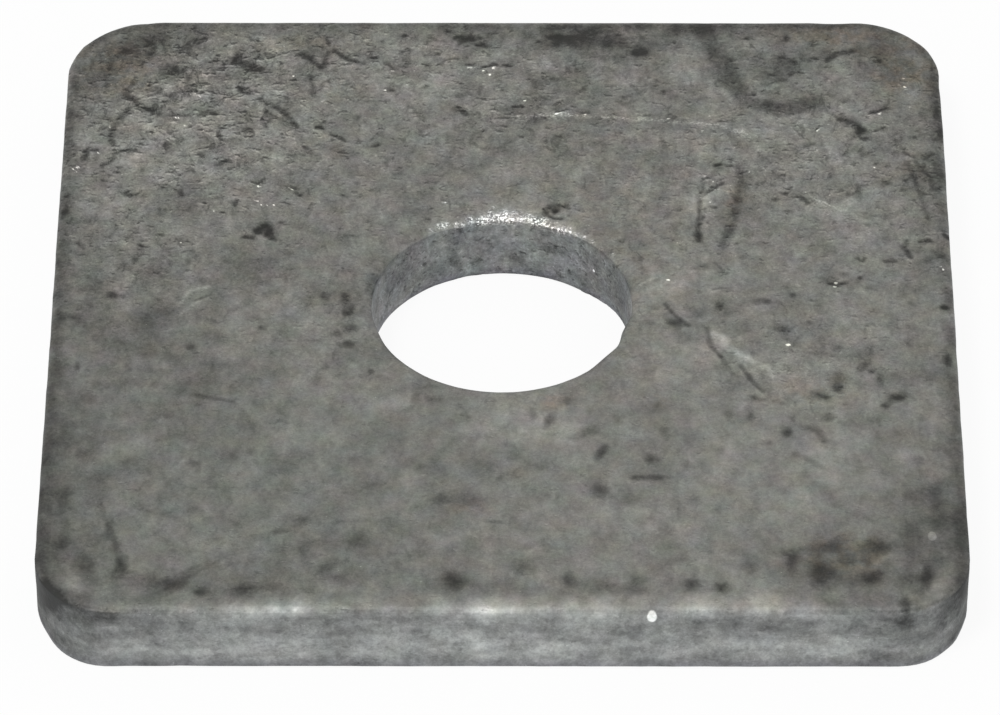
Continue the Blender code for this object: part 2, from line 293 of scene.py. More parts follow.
# Pits: place, half width, stretch, turn in degrees, depth and darkness
PITS = (
    (29.6, 23.8, 0.6, 2.0, 55, 0.1, 1.0), (30.4, 22.7, 0.5, 1.8, 100, 0.1, 1.0),
    (29.0, 24.6, 0.4, 1.6, 10, 0.08, 0.9), (-20.6, 9.6, 0.5, 1.8, 40, 0.1, 1.0),
    (-19.8, 8.8, 0.5, 1.8, -40, 0.1, 1.0), (-17.2, 14.1, 0.45, 1.3, 10, 0.09, 1.0),
    (-27.3, 14.3, 0.5, 1.8, -60, 0.08, 0.9), (-28.8, 15.2, 0.4, 1.6, 80, 0.06, 0.6),
    (-31.8, 14.1, 0.5, 2.2, -15, 0.09, 1.0), (-30.4, 7.4, 0.4, 1.5, -40, 0.07, 0.8),
    (-23.0, 32.5, 0.6, 2.0, 70, 0.1, 1.0), (-10.8, 20.6, 0.35, 1.8, 30, 0.07, 0.8),
    (4.4, 11.9, 0.5, 1.2, 10, 0.12, 1.0), (5.3, 12.6, 0.35, 1.3, 60, 0.1, 0.8),
    (-3.2, 35.0, 0.9, 2.0, 5, 0.1, 0.9), (-1.9, 34.2, 0.5, 2.0, -30, 0.08, 0.9),
    (4.7, 35.2, 0.9, 1.8, -10, 0.06, 0.8), (27.8, 2.3, 0.35, 1.8, 10, 0.08, 0.9),
    (-33.8, 15.9, 0.35, 1.4, -20, 0.06, 0.8), (-32.8, 17.7, 0.3, 1.8, -20, 0.05, 0.8),
    (-30.7, 17.3, 0.35, 1.5, 60, 0.05, 0.7), (-28.0, 18.1, 0.25, 1.6, 0, 0.05, 0.8),
    (-29.2, 18.4, 0.35, 1.2, 0, 0.05, 0.7), (-25.6, 19.0, 0.25, 1.8, 0, 0.05, 0.9),
    (-29.7, 21.4, 0.3, 1.4, 0, 0.05, 0.8), (-28.8, 8.8, 0.35, 1.2, 0, 0.05, 0.6),
    (-35.7, 7.7, 0.4, 1.8, -50, 0.05, 0.6), (-37.0, 13.8, 0.3, 1.3, 0, 0.05, 0.8),
    (-37.0, 11.9, 0.5, 2.2, 85, 0.05, 0.7), (-30.5, 32.9, 0.7, 1.6, 80, 0.06, 0.6),
    (-32.6, 33.3, 0.6, 1.4, 0, 0.06, 0.6), (-28.2, 30.6, 0.7, 1.5, -30, 0.06, 0.7),
    (-29.7, 27.7, 0.5, 1.6, 0, 0.06, 0.8), (-28.8, 27.3, 0.5, 1.6, 0, 0.05, 0.6),
    (-23.6, 28.3, 0.4, 1.5, 0, 0.05, 0.8), (-23.8, 30.0, 0.4, 1.2, 60, 0.05, 0.7),
    (-25.1, 31.8, 0.4, 1.3, -40, 0.05, 0.6), (-24.4, 23.2, 0.35, 1.6, 60, 0.05, 0.6),
    (-23.9, 22.9, 0.3, 1.4, 0, 0.05, 0.6), (-25.1, 22.7, 0.3, 1.6, 20, 0.05, 0.6),
    (-22.3, 24.4, 0.3, 1.2, 0, 0.05, 0.7), (-30.9, 22.7, 0.4, 1.4, 0, 0.04, 0.5),
    (-29.4, 24.6, 0.3, 1.6, 30, 0.05, 0.7), (-30.2, 23.9, 0.3, 1.6, 30, 0.05, 0.7),
    (-27.2, 24.6, 0.35, 1.4, -20, 0.05, 0.8), (-11.2, 32.5, 0.55, 1.2, 0, 0.07, 0.9),
    (-8.7, 35.4, 0.35, 1.8, 20, 0.05, 0.8), (-13.5, 28.8, 0.3, 1.6, 0, 0.04, 0.6),
    (-9.7, 28.0, 0.35, 1.3, 0, 0.07, 1.0), (-15.4, 23.8, 0.35, 1.4, 40, 0.05, 0.6),
    (-12.6, 24.3, 0.4, 1.6, -50, 0.05, 0.6), (-20.1, 23.9, 0.45, 1.3, 80, 0.05, 0.7),
    (-6.6, 31.4, 0.5, 1.4, 0, 0.05, 0.6), (-4.0, 25.5, 0.6, 1.4, 50, 0.06, 0.7),
    (-3.4, 25.0, 0.45, 1.6, -50, 0.06, 0.7), (-5.9, 23.2, 0.3, 1.6, 0, 0.04, 0.6),
    (-6.7, 28.5, 0.4, 1.4, 40, 0.05, 0.6), (-0.1, 28.1, 0.25, 1.3, 0, 0.04, 0.7),
    (32.3, 32.0, 0.45, 1.3, 0, 0.06, 0.8), (23.9, 29.4, 0.5, 1.3, 0, 0.05, 0.6),
    (24.8, 30.2, 0.45, 1.5, 40, 0.05, 0.6), (24.5, 35.2, 0.5, 1.5, 80, 0.05, 0.6),
    (20.9, 35.1, 0.35, 2.0, 10, 0.05, 0.6), (26.9, 32.3, 0.4, 1.4, -20, 0.05, 0.5),
    (29.2, 26.6, 0.45, 1.7, 0, 0.05, 0.6), (22.4, 27.8, 0.4, 1.3, 0, 0.05, 0.5),
    (22.4, 28.8, 0.4, 1.3, 0, 0.05, 0.5), (33.6, 22.2, 0.3, 1.6, 40, 0.05, 0.6),
    (31.6, 18.2, 0.25, 1.6, 0, 0.05, 0.7), (31.6, 20.1, 0.35, 1.4, 60, 0.05, 0.5),
    (28.9, 19.4, 0.25, 1.5, 0, 0.05, 0.8), (35.0, 21.7, 0.3, 1.5, 0, 0.05, 0.6),
    (35.3, 22.6, 0.3, 1.5, 30, 0.05, 0.5), (32.5, 15.6, 0.3, 2.0, -5, 0.05, 0.7),
    (33.8, 14.8, 0.3, 1.4, 0, 0.04, 0.5), (34.1, 16.0, 0.35, 1.4, 40, 0.04, 0.5),
    (35.6, 14.2, 0.35, 1.4, -40, 0.04, 0.6), (32.5, 17.9, 0.25, 1.5, 30, 0.04, 0.6),
    (26.7, 22.7, 0.22, 1.3, 0, 0.05, 0.9), (11.6, 33.0, 0.55, 2.2, 5, 0.05, 0.7),
    (10.0, 35.6, 0.35, 1.5, 0, 0.04, 0.6), (13.7, 27.9, 0.25, 1.6, 0, 0.04, 0.6),
    (13.1, 28.6, 0.3, 1.3, 0, 0.04, 0.5), (-22.5, 21.3, 0.3, 1.3, 0, 0.05, 0.8),
    (-22.1, 19.1, 0.25, 1.8, -10, 0.05, 0.7), (-17.7, 14.9, 0.25, 1.5, -20, 0.05, 0.8),
    (-23.6, 11.7, 0.25, 1.6, 0, 0.05, 0.7), (-18.7, 10.4, 0.35, 1.3, 0, 0.05, 0.7),
    (-18.0, 16.8, 0.3, 1.5, 30, 0.05, 0.6), (-19.8, 20.1, 0.35, 1.3, 0, 0.04, 0.5),
    (-16.8, 20.2, 0.25, 1.4, 0, 0.04, 0.6), (-13.6, 14.0, 0.2, 1.4, 0, 0.04, 0.7),
    (-12.7, 8.7, 0.3, 1.5, 0, 0.04, 0.6), (-16.6, 17.3, 0.25, 1.4, 0, 0.04, 0.5),
    (17.8, 12.4, 0.35, 1.8, -20, 0.05, 0.7), (17.0, 12.2, 0.3, 1.3, 90, 0.05, 0.8),
    (16.9, 11.1, 0.3, 1.6, 80, 0.05, 0.9), (16.5, 10.3, 0.3, 1.3, 0, 0.05, 0.8),
    (23.0, 13.5, 0.35, 1.5, 20, 0.05, 0.8), (23.9, 14.3, 0.35, 1.4, 30, 0.05, 0.7),
    (24.2, 14.8, 0.3, 1.6, 0, 0.04, 0.6), (24.0, 11.9, 0.35, 1.8, 0, 0.04, 0.6),
    (19.6, 7.7, 0.25, 1.6, 0, 0.04, 0.6), (19.8, 20.6, 0.25, 1.8, 0, 0.04, 0.5),
    (36.8, -0.5, 0.4, 1.5, -20, 0.05, 0.7), (29.8, 3.3, 0.25, 1.5, 90, 0.04, 0.7),
    (28.6, 3.8, 0.35, 1.5, -30, 0.04, 0.5), (28.8, 8.5, 0.25, 1.5, 0, 0.04, 0.7),
    (30.7, 10.2, 0.3, 1.2, 0, 0.04, 0.5), (31.5, 10.3, 0.25, 1.5, -60, 0.04, 0.7),
    (25.7, 0.4, 0.3, 1.3, 0, 0.04, 0.5), (-4.8, 36.0, 0.4, 1.8, 0, 0.05, 0.6),
)

# Painted glints, bright specks standing in for tiny facets that catch the lamp: place, half width and
# brightness
PAINTED_GLINTS = (
    (23.6, -5.2, 0.3, 1.0), (27.8, 2.7, 0.3, 0.9), (-20.5, 12.7, 0.22, 0.9), (-20.0, 12.6, 0.2, 0.9),
    (-19.4, 12.7, 0.22, 0.9), (-20.8, 13.2, 0.2, 0.9), (-24.4, 11.9, 0.2, 0.7), (1.8, 26.6, 0.22, 1.0),
    (34.4, 29.6, 0.3, 0.8), (13.8, 3.0, 0.25, 0.9), (-36.2, 17.7, 0.3, 0.9), (-36.5, 17.4, 0.25, 0.9),
    (-36.3, 17.0, 0.25, 1.0), (-34.5, 19.5, 0.22, 0.9), (-33.6, 19.6, 0.2, 0.6), (-33.9, 19.3, 0.25, 0.5),
    (-33.7, 23.1, 0.22, 0.7), (-33.0, 18.1, 0.2, 0.6), (-32.4, 16.7, 0.2, 0.7), (-27.9, 17.7, 0.22, 0.8),
    (-25.6, 18.8, 0.2, 0.8), (-29.6, 21.2, 0.2, 0.5), (-27.1, 7.8, 0.2, 0.9), (-35.4, 11.2, 0.2, 0.6),
    (-28.0, 24.2, 0.22, 0.8), (-27.3, 23.2, 0.2, 0.8), (-26.0, 27.0, 0.2, 0.8), (-29.9, 24.9, 0.2, 0.6),
    (-13.6, 31.7, 0.25, 0.7), (-9.6, 30.6, 0.25, 0.6), (-10.2, 28.0, 0.2, 1.0), (-9.7, 27.5, 0.2, 0.8),
    (-8.3, 28.8, 0.25, 0.7), (-18.1, 29.9, 0.2, 0.9), (-17.3, 28.7, 0.2, 0.6), (-20.9, 30.5, 0.25, 0.6),
    (-3.1, 31.0, 0.2, 0.8), (-2.8, 31.0, 0.2, 0.8), (-1.8, 30.6, 0.22, 0.9), (-0.9, 31.0, 0.25, 0.9),
    (-1.2, 30.1, 0.2, 1.0), (-7.5, 28.7, 0.25, 0.6), (-6.1, 27.8, 0.2, 0.6), (4.5, 24.8, 0.25, 0.8),
    (-15.6, 26.4, 0.2, 0.7), (32.2, 24.8, 0.22, 0.9), (34.1, 28.7, 0.25, 1.0), (34.5, 28.5, 0.2, 0.8),
    (34.8, 28.3, 0.2, 0.6), (34.8, 25.7, 0.2, 0.6), (31.5, 17.7, 0.2, 0.9), (28.9, 19.1, 0.2, 0.6),
    (26.7, 22.5, 0.2, 0.7), (14.1, 24.2, 0.22, 0.9), (17.0, 22.5, 0.2, 0.8), (17.6, 24.5, 0.2, 0.6),
    (7.0, 24.7, 0.25, 0.8), (8.7, 24.7, 0.25, 0.7), (-20.7, 15.1, 0.2, 0.9), (-17.8, 14.7, 0.2, 0.8),
    (-23.6, 11.5, 0.2, 0.8), (-21.4, 10.8, 0.2, 0.5), (17.1, 16.6, 0.25, 0.8), (16.2, 16.6, 0.2, 0.6),
    (17.8, 15.8, 0.2, 0.8), (17.9, 14.7, 0.2, 0.7), (20.9, 17.1, 0.2, 0.7), (26.7, 20.0, 0.25, 0.7),
    (17.5, 13.1, 0.2, 0.9), (24.9, 14.3, 0.2, 0.6), (22.9, 13.0, 0.2, 0.6), (27.6, 14.0, 0.2, 0.6),
    (25.6, 14.4, 0.2, 0.6), (27.7, 2.2, 0.22, 0.9), (36.8, 4.4, 0.2, 0.9), (36.6, 4.8, 0.2, 0.7),
    (37.2, 3.1, 0.2, 0.6), (30.5, 12.1, 0.2, 0.6), (30.2, 10.8, 0.2, 0.6),
)

# Thin pale streaks: half width, brightness and line
STREAKS = (
    (0.3, 0.8, [(0.7, 24.4), (6, 24.6), (13, 24), (18.5, 23.3), (21.5, 21.8)]),
    (0.2, 0.5, [(-27.1, 28.1), (-26.6, 28.2), (-26.1, 28.1)]),
    (0.2, 0.5, [(-28.7, 26.6), (-28.0, 26.6)]),
    (0.3, 0.3, [(-30.3, 27.3), (-29.4, 27.3)]),
    (0.2, 0.5, [(-28.4, 24.2), (-27.6, 24.3)]),
    (0.2, 0.5, [(-5.5, 31.7), (-5.0, 31.9), (-4.2, 32.1)]),
    (0.2, 0.4, [(-1.2, 23.9), (0.2, 23.9)]),
    (0.25, 0.9, [(2.9, 24.8), (5.7, 24.8)]),
    (0.9, 0.35, [(-21.8, 29.2), (-20.1, 27.9), (-18.2, 26.5), (-17.2, 26.1)]),
    (0.3, 0.3, [(-17, 23), (-9, 18)]),
    (0.25, 0.35, [(-23.2, 19.4), (-22.7, 19.4)]),
    (0.25, 0.5, [(25.6, 14.4), (26.6, 13.3), (27.5, 12.7)]),
    (0.45, 0.35, [(26.6, 13.3), (27.6, 12.6), (29.1, 11.8), (30.2, 10.7)]),
    (0.2, 0.5, [(35.3, 1.8), (36.2, 1.4)]),
    (0.2, 0.5, [(33.7, 5.9), (34.2, 5.4)]),
)

# Soft dark spots: place, half sizes, turn in degrees and darkness
SPOTS = (
    (8.1, -18.5, 0.7, 1.5, -20, 1), (12.1, -19.4, 0.9, 0.9, 0, 0.9), (8.0, -23.2, 1.1, 1.3, 20, 0.75),
    (10.1, -23.7, 1.6, 1.5, 0, 0.4), (-2.8, -24.1, 3.0, 1.7, 0, 0.3), (-5.1, -24.2, 1.0, 1.1, 0, 0.35),
    (1.5, -32.2, 1.1, 1.7, 0, 0.5), (-3.8, -34.2, 1.1, 1.9, 0, 0.9), (-4.3, -33.4, 1.0, 0.9, 30, 0.7),
    (5.2, -33.7, 1.0, 1.3, 0, 0.75), (6.1, -34.2, 1.7, 0.8, 0, 0.3), (10.7, -33.7, 1.1, 1.1, 20, 0.4),
    (9.3, -34.9, 3.0, 1.1, 0, 0.3), (-6.3, -30.1, 1.1, 1.3, 0, 0.35), (3.8, -14.7, 0.6, 1.5, -20, 0.65),
    (2.5, -14.0, 0.5, 1.1, 0, 0.45), (5.4, -12.2, 1.0, 0.9, 20, 0.45), (-5.7, -12.1, 1.6, 0.9, 10, 0.4),
    (-7.1, -11.7, 0.7, 1.5, 0, 0.35), (-8.2, -17.4, 0.7, 3.2, 0, 0.25), (1.0, -15.9, 0.6, 0.9, 0, 0.25),
    (-4.0, -14.7, 1.5, 1.5, 0, 0.2), (7.1, -20.4, 0.7, 0.8, 0, 0.3), (2.6, -20.2, 2.2, 0.9, 0, 0.2),
    (-0.8, -20.2, 1.0, 1.1, 0, 0.25), (13.1, -15.8, 0.6, 0.8, 0, 0.4), (15.0, -34.2, 1.0, 1.1, -35, 1),
    (17.5, -34.6, 1.0, 1.1, -30, 0.95), (19.9, -32.0, 1.1, 2.1, 0, 0.35),
    (23.4, -30.9, 1.3, 1.5, 15, 0.75), (23.2, -32.0, 0.6, 1.5, 0, 0.45), (25.6, -32.7, 1.6, 2.3, 0, 0.8),
    (25.4, -34.6, 0.9, 1.1, 0, 0.35), (25.2, -30.3, 1.2, 1.3, 0, 0.6), (26.7, -29.8, 1.1, 1.5, -30, 0.7),
    (27.6, -31.5, 1.1, 0.9, 0, 0.5), (30.0, -29.9, 1.7, 0.9, 0, 0.75), (29.5, -33.6, 1.3, 1.4, 0, 0.65),
    (28.7, -31.2, 1.2, 1.1, 0, 0.35), (34.0, -33.1, 0.7, 2.1, 0, 0.65), (32.2, -36.6, 0.6, 1.5, 0, 0.7),
    (35.0, -23.5, 1.7, 1.7, 0, 0.3), (32.7, -23.3, 1.0, 1.1, 0, 0.3), (35.0, -26.2, 1.1, 2.2, 0, 0.35),
    (32.7, -28.0, 1.7, 1.5, 0, 0.3), (15.5, -24.2, 1.0, 0.9, -20, 0.45), (22.6, -23.3, 0.6, 0.8, 0, 0.25),
    (28.6, -26.0, 1.1, 0.8, 0, 0.25), (-30.6, -32.6, 1.0, 2.0, 0, 0.95),
    (-27.2, -26.0, 1.0, 0.8, -10, 0.55), (-27.8, -24.1, 1.0, 0.9, 0, 0.35),
    (-25.1, -25.3, 0.7, 1.9, 0, 0.2), (-35.6, -23.9, 1.1, 1.5, 0, 0.4), (-35.3, -29.0, 1.0, 2.1, 0, 0.35),
    (-33.2, -32.2, 1.1, 1.7, 0, 0.4), (-26.1, -34.3, 1.2, 1.5, -25, 0.75),
    (-27.3, -34.4, 1.2, 1.3, 0, 0.45), (-24.9, -32.9, 1.0, 1.1, -20, 0.45),
    (-24.1, -35.2, 0.7, 0.9, -30, 0.75), (-23.3, -31.9, 1.0, 0.9, 0, 0.3),
    (-20.5, -35.0, 1.2, 0.9, 0, 0.65), (-18.6, -34.7, 1.5, 0.9, 0, 0.45), (-15.6, -35.1, 1.5, 0.8, 0, 0.3),
    (-14.2, -32.5, 0.8, 1.6, -20, 0.65), (-13.1, -33.8, 0.9, 1.2, 0, 0.5),
    (-11.8, -29.3, 1.0, 1.2, 0, 0.35), (-16.4, -26.8, 1.1, 1.1, 0, 0.3), (-16.1, -26.7, 0.9, 0.9, 15, 0.4),
    (-15.1, -29.5, 1.2, 1.1, 0, 0.25), (-36.3, -35.1, 0.9, 1.9, 0, 1), (-30.4, -19.6, 1.5, 1.3, 0, 0.3),
    (-32.9, -21.9, 0.9, 1.7, 0, 0.25), (-22.2, -18.9, 1.5, 1.1, 0, 0.2), (-18.0, -20.7, 1.7, 1.1, 0, 0.2),
    (-21.1, -26.7, 2.0, 1.5, 0, 0.15), (18.5, -13.8, 0.6, 0.8, 0, 0.5), (20.3, -14.1, 0.5, 1.3, 0, 0.55),
    (20.7, -11.9, 0.9, 0.8, 0, 0.5), (27.8, -5.5, 0.5, 0.9, -30, 0.5), (27.9, -9.1, 0.7, 1.3, 0, 0.35),
    (27.6, -10.6, 0.7, 0.9, 0, 0.9), (29.8, -7.9, 0.6, 1.5, -30, 0.8), (29.5, -6.7, 0.6, 0.8, 0, 0.35),
    (31.1, -9.6, 0.5, 1.5, 0, 0.6), (32.6, -11.6, 1.1, 0.8, 10, 0.9), (31.4, -12.8, 0.6, 0.8, 0, 0.5),
    (33.1, -12.5, 0.7, 0.8, 0, 0.3), (26.7, -11.9, 0.6, 0.7, 0, 0.4), (25.8, -11.2, 0.9, 0.8, 0, 0.3),
    (26.7, -14.3, 0.7, 0.7, 0, 0.6), (23.3, -16.1, 0.7, 1.1, 0, 0.9), (23.7, -14.3, 0.5, 0.9, 0, 0.4),
    (21.6, -17.3, 0.9, 0.6, 10, 0.5), (30.3, -14.6, 0.9, 0.8, 0, 0.5), (34.3, -14.4, 0.5, 0.6, 0, 0.4),
    (17.8, -18.4, 0.7, 0.8, 0, 0.3), (14.8, -19.8, 0.6, 0.8, 0, 0.25), (33.8, -19.4, 0.6, 0.9, 0, 0.35),
    (15.3, -8.5, 0.5, 0.6, 0, 0.4), (14.9, -4.3, 1.4, 1.3, 0, 0.35), (36.7, -7.2, 0.5, 1.1, 0, 0.8),
    (35.1, -9.7, 1.2, 1.1, 0, 0.25), (24.2, -5.1, 0.6, 0.6, 0, 0.5), (24.2, 1.1, 0.6, 0.6, 30, 0.7),
    (21.3, 0.3, 1.4, 0.7, 0, 0.6), (22.0, 0.3, 0.5, 0.6, 0, 0.5), (18.0, -0.3, 0.6, 0.6, 0, 0.5),
    (16.2, -1.3, 1.0, 1.1, 0, 0.35), (18.3, -1.0, 1.5, 0.9, 0, 0.25), (14.2, -2.4, 1.1, 1.1, 0, 0.6),
    (12.1, -2.6, 0.6, 0.8, 0, 0.35), (23.1, -3.2, 1.0, 0.7, -30, 0.7), (16.8, 4.7, 0.9, 0.7, 0, 0.5),
    (36.6, -0.5, 0.6, 0.6, -20, 0.65), (25.4, -2.4, 0.4, 0.5, 0, 0.4), (28.3, 3.8, 0.4, 0.4, 0, 0.35),
    (29.9, 3.2, 0.4, 0.4, 0, 0.4), (25.2, 5.8, 0.5, 0.4, 0, 0.4), (12.6, -0.5, 0.5, 0.6, 0, 0.3),
    (-13.2, 0.8, 0.7, 0.9, 0, 0.9), (-14.9, 0.8, 0.7, 0.8, 0, 0.6), (-12.6, -0.8, 0.5, 0.9, 0, 0.6),
    (-13.1, -1.2, 0.5, 0.6, 0, 0.6), (-12.6, -3.1, 0.9, 0.8, 20, 0.75), (-13.7, -3.8, 0.6, 0.6, 0, 0.55),
    (-12.9, -5.1, 0.9, 0.8, 0, 0.75), (-20.1, -3.1, 0.4, 0.5, 0, 0.6), (-25.8, -5.6, 0.7, 0.6, 0, 0.8),
    (-35.1, -7.9, 0.4, 0.9, 0, 0.6), (-27.4, -14.0, 0.6, 0.8, 0, 0.45), (-15.3, -9.8, 0.5, 1.1, 0, 0.4),
    (-10.9, -8.6, 0.5, 0.6, 0, 0.6), (-14.8, -8.1, 0.6, 0.6, 0, 0.35), (-36.6, -1.7, 1.2, 0.9, 0, 0.5),
    (-30.8, 5.5, 0.5, 0.6, 0, 0.6), (-26.4, 5.3, 0.4, 0.9, 0, 0.55), (-35.4, -2.4, 0.7, 0.8, 0, 0.35),
    (-33.7, 2.6, 0.7, 0.8, 20, 0.35), (-32.4, 1.2, 0.6, 0.6, 0, 0.5), (-31.8, 0.9, 0.5, 0.6, 0, 0.45),
    (-34.7, 3.4, 0.5, 0.5, 0, 0.45), (-29.3, -2.9, 1.0, 0.8, 0, 0.25), (-22.5, -7.8, 2.0, 1.1, 0, 0.2),
    (-31.7, -5.3, 1.2, 1.1, 0, 0.2), (-16.6, -14.6, 1.7, 1.5, 0, 0.15), (-33.9, -12.2, 1.0, 0.9, 0, 0.3),
    (-36.1, -17.1, 1.0, 1.5, 0, 0.25), (-29.1, -18.9, 1.1, 0.9, 0, 0.25), (-35.0, -15.2, 0.7, 0.9, 0, 0.3),
    (17.9, 0.4, 0.9, 0.9, 0, 0.3), (16.2, -2.8, 0.9, 0.7, 0, 0.25), (12.3, -2.4, 0.7, 0.6, 0, 0.3),
    (26.1, -11.6, 1, 0.8, 0, 0.3), (31.8, -12.4, 0.5, 0.5, 0, 0.25), (20.3, -2.1, 0.7, 0.7, 0, 0.2),
    (30.5, 22.8, 0.6, 0.7, 0, 0.35), (30.8, 21.7, 0.5, 0.7, 0, 0.35), (32.1, 25.1, 1.1, 0.5, 15, 0.35),
    (27.5, -8.8, 0.8, 0.9, 0, 0.5), (27.5, -10.2, 0.9, 1, 0, 0.25), (30.4, -8.5, 0.6, 0.8, -40, 0.6),
    (32.1, -11.9, 1.1, 0.7, 0, 0.6), (31.4, -12.8, 0.7, 0.6, 0, 0.4), (12.6, -12.8, 1.4, 1.3, 0, 0.35),
    (14.0, 11.4, 0.6, 0.7, 0, 0.25), (19.2, 9.2, 0.7, 1, 0, 0.2),
)

# Soft dark strokes: half width, darkness and line
STROKES = (
    (0.54, 0.48, [(-31.8, -27.3), (-30.9, -30.2), (-30.6, -32.1)]),
    (0.40, 0.30, [(-32.4, -24.8), (-32.0, -26.6), (-31.8, -27.3)]),
    (0.54, 0.28, [(-29.7, -25.0), (-28.4, -25.8)]),
    (0.54, 0.24, [(-27.8, -28.3), (-26.6, -30.1)]),
    (0.37, 0.70, [(19.6, -7.8), (20.4, -9.5), (21.3, -11.0)]),
    (0.39, 0.70, [(16.9, -3.1), (17.2, -5.4), (18.0, -6.7)]),
    (0.37, 0.40, [(18.0, -6.7), (18.9, -8.8)]),
    (0.32, 0.75, [(13.5, -0.1), (14.2, -1.4), (15.4, -2.8)]),
    (0.54, 0.60, [(25.0, -15.5), (25.9, -16.0), (26.2, -17.1)]),
    (0.43, 0.44, [(23.8, -18.7), (25.1, -19.5), (26.0, -20.3)]),
    (0.31, 0.45, [(17.8, 5.2), (18.6, 3.9)]),
    (0.20, 0.50, [(17.5, 1.8), (18.1, 2.0), (18.7, 2.0)]),
    (0.43, 0.44, [(-25.2, -11.5), (-23.3, -12.0), (-22.2, -12.3)]),
    (0.22, 0.50, [(-25.7, 0.3), (-25.0, 0.7), (-24.1, 1.1)]),
    (0.43, 0.24, [(-19.1, -11.9), (-17.7, -15.0)]),
    (0.43, 0.24, [(-21.3, -13.3), (-20.1, -16.1)]),
    (0.36, 0.32, [(-3.6, -12.6), (-2.8, -14.2)]),
    (0.54, 0.68, [(10.6, -21.6), (11.6, -21.6), (12.7, -21.6)]),
    (0.36, 0.32, [(12.7, -21.6), (13.8, -21.6)]),
    (0.36, 0.40, [(-1.3, -26.8), (0.1, -27.0)]),
    (0.43, 0.28, [(20.7, -11.8), (23.2, -12.6)]),
)

# Pale ridges: half width, how pale, and line
PALE_LINES = (
    (0.68, 0.55, [(17.3, -3.8), (18.2, -4.3), (18.7, -5.6), (20.2, -6.9)]),
    (0.55, 0.45, [(20.2, -6.9), (21.7, -8.2), (22.3, -9.2)]),
    (0.27, 0.5, [(-27.0, -0.3), (-26.2, 1.5), (-24.6, 2.2)]),
    (0.27, 0.45, [(-26.8, -1.4), (-25.5, 0.1), (-24.0, 1.1)]),
    (1.11, 0.3, [(35.9, -32.1), (35.1, -35.0), (34.0, -36.9)]),
    (0.27, 0.5, [(11.5, 2.4), (12.5, 3.2)]),
    (0.27, 0.3, [(17.5, 1.5), (18.0, 1.6)]),
    (1.11, 0.2, [(8.0, -25.6), (12.0, -25.4)]),
)

# Pale spots: place, half sizes and how pale
PALE_SPOTS = (
    (34.6, -28.6, 1.2, 1.6, 0.2), (-34.6, -33.9, 1.5, 1.5, 0.25), (18.1, -4.6, 1.1, 1.3, 0.35),
    (21.6, -8.2, 0.9, 0.9, 0.25), (8.8, -21.7, 1.0, 1.9, 0.2), (4.7, -32.9, 1.1, 1.1, 0.25),
    (-32.8, -17.1, 1.2, 1.3, 0.2), (-28.3, -29.7, 1.5, 1.3, 0.15), (-30.4, -11.2, 1.5, 1.3, 0.15),
    (12.9, -17.0, 1.2, 1.1, 0.15), (32.4, -31.4, 1.7, 1.1, 0.1), (20.9, -8.5, 1.0, 0.9, 0.2),
)

# Painted highlights and sheen along the front rim, with soiled places among them: place, half width, how far
# in from the arris (less than nothing: down the wall), half height, and how much lighter or darker
RIM_HIGHLIGHTS_AND_SOIL = (
    (-19.0, 8.0, 0.6, 1.9, 0.1), (-21.4, 1.1, 0.6, 1.9, 0.2), (-19.8, 0.9, 0.6, 1.9, 0.18),
    (-18.2, 1.0, 0.6, 1.9, 0.2), (-16.2, 1.3, 0.6, 1.9, 0.24), (-29.3, 2.2, 0.6, 1.9, 0.06),
    (-25.7, 2.2, 0.6, 1.9, 0.08), (-5.0, 1.5, 0.6, 1.9, 0.16), (0.0, 8.0, 0.6, 1.9, 0.16),
    (-1.5, 2.0, 0.6, 1.9, 0.28), (0.9, 1.5, 0.6, 1.9, 0.26), (3.1, 1.3, 0.6, 1.9, 0.12),
    (5.2, 1.1, 0.6, 1.9, 0.18), (8.2, 2.0, 0.6, 1.9, 0.2), (12.5, 10.0, 0.6, 1.9, 0.1),
    (16.4, 2.6, 0.6, 1.9, 0.12), (19.6, 3.2, 0.6, 1.9, 0.12), (24.1, 2.4, 0.6, 1.9, 0.12),
    (21.7, 2.0, 0.6, 1.9, 0.06), (-11.0, 6.0, 0.6, 1.9, 0.04), (-34.4, 1.3, 1.8, 1.3, 0.26),
    (-28.2, 4.2, 0.6, 1, 0.12), (-27, 1.7, -0.4, 0.9, 0.13), (-30.2, 2.3, -1, 0.8, -0.2),
    (-23.3, 1.4, -0.6, 1.3, -0.12), (-19.3, 4.4, 1.6, 0.9, -0.14), (-18.5, 3.6, -0.1, 0.7, 0.1),
    (-12.2, 3.4, 1, 0.9, 0.13), (-13.6, 1.2, -0.5, 0.8, -0.1), (-8.9, 1.6, -0.8, 0.9, -0.08),
    (-1.0, 3.2, 0.05, 0.65, 0.25), (1.6, 2.6, -1, 0.8, 0.11), (3, 2.2, 1.8, 0.9, 0.13),
    (7.2, 2.9, -0.5, 0.9, 0.13), (9.2, 2.6, -1.2, 0.9, 0.13), (6.2, 2, 0.9, 0.6, 0.09),
    (8.7, 1.1, 1.3, 0.8, -0.09), (11, 2.1, 1.6, 0.9, 0.1), (15, 1.5, 0.4, 0.7, 0.1),
    (18.2, 1.4, -0.7, 0.9, -0.08), (21.5, 3.3, 1.1, 1.4, 0.15), (26.2, 1.2, 0.6, 1.6, -0.1),
    (29.3, 1.2, 0.8, 0.9, -0.1), (32.3, 1.6, -0.5, 0.8, 0.13), (34.4, 1.3, 1.2, 1.3, 0.1),
    (34.3, 1.5, 0.1, 1.1, 0.26), (-34.5, 1.3, 0.5, 1.0, 0.25), (-20.2, 0.6, 0.2, 0.7, 0.12),
    (-23.0, 1.4, -0.2, 0.6, 0.08), (20.5, 1.6, 0.1, 0.6, 0.1), (-18.3, 0.6, 0.4, 0.7, 0.26),
    (-16.4, 0.6, 0.3, 0.7, 0.2),
)
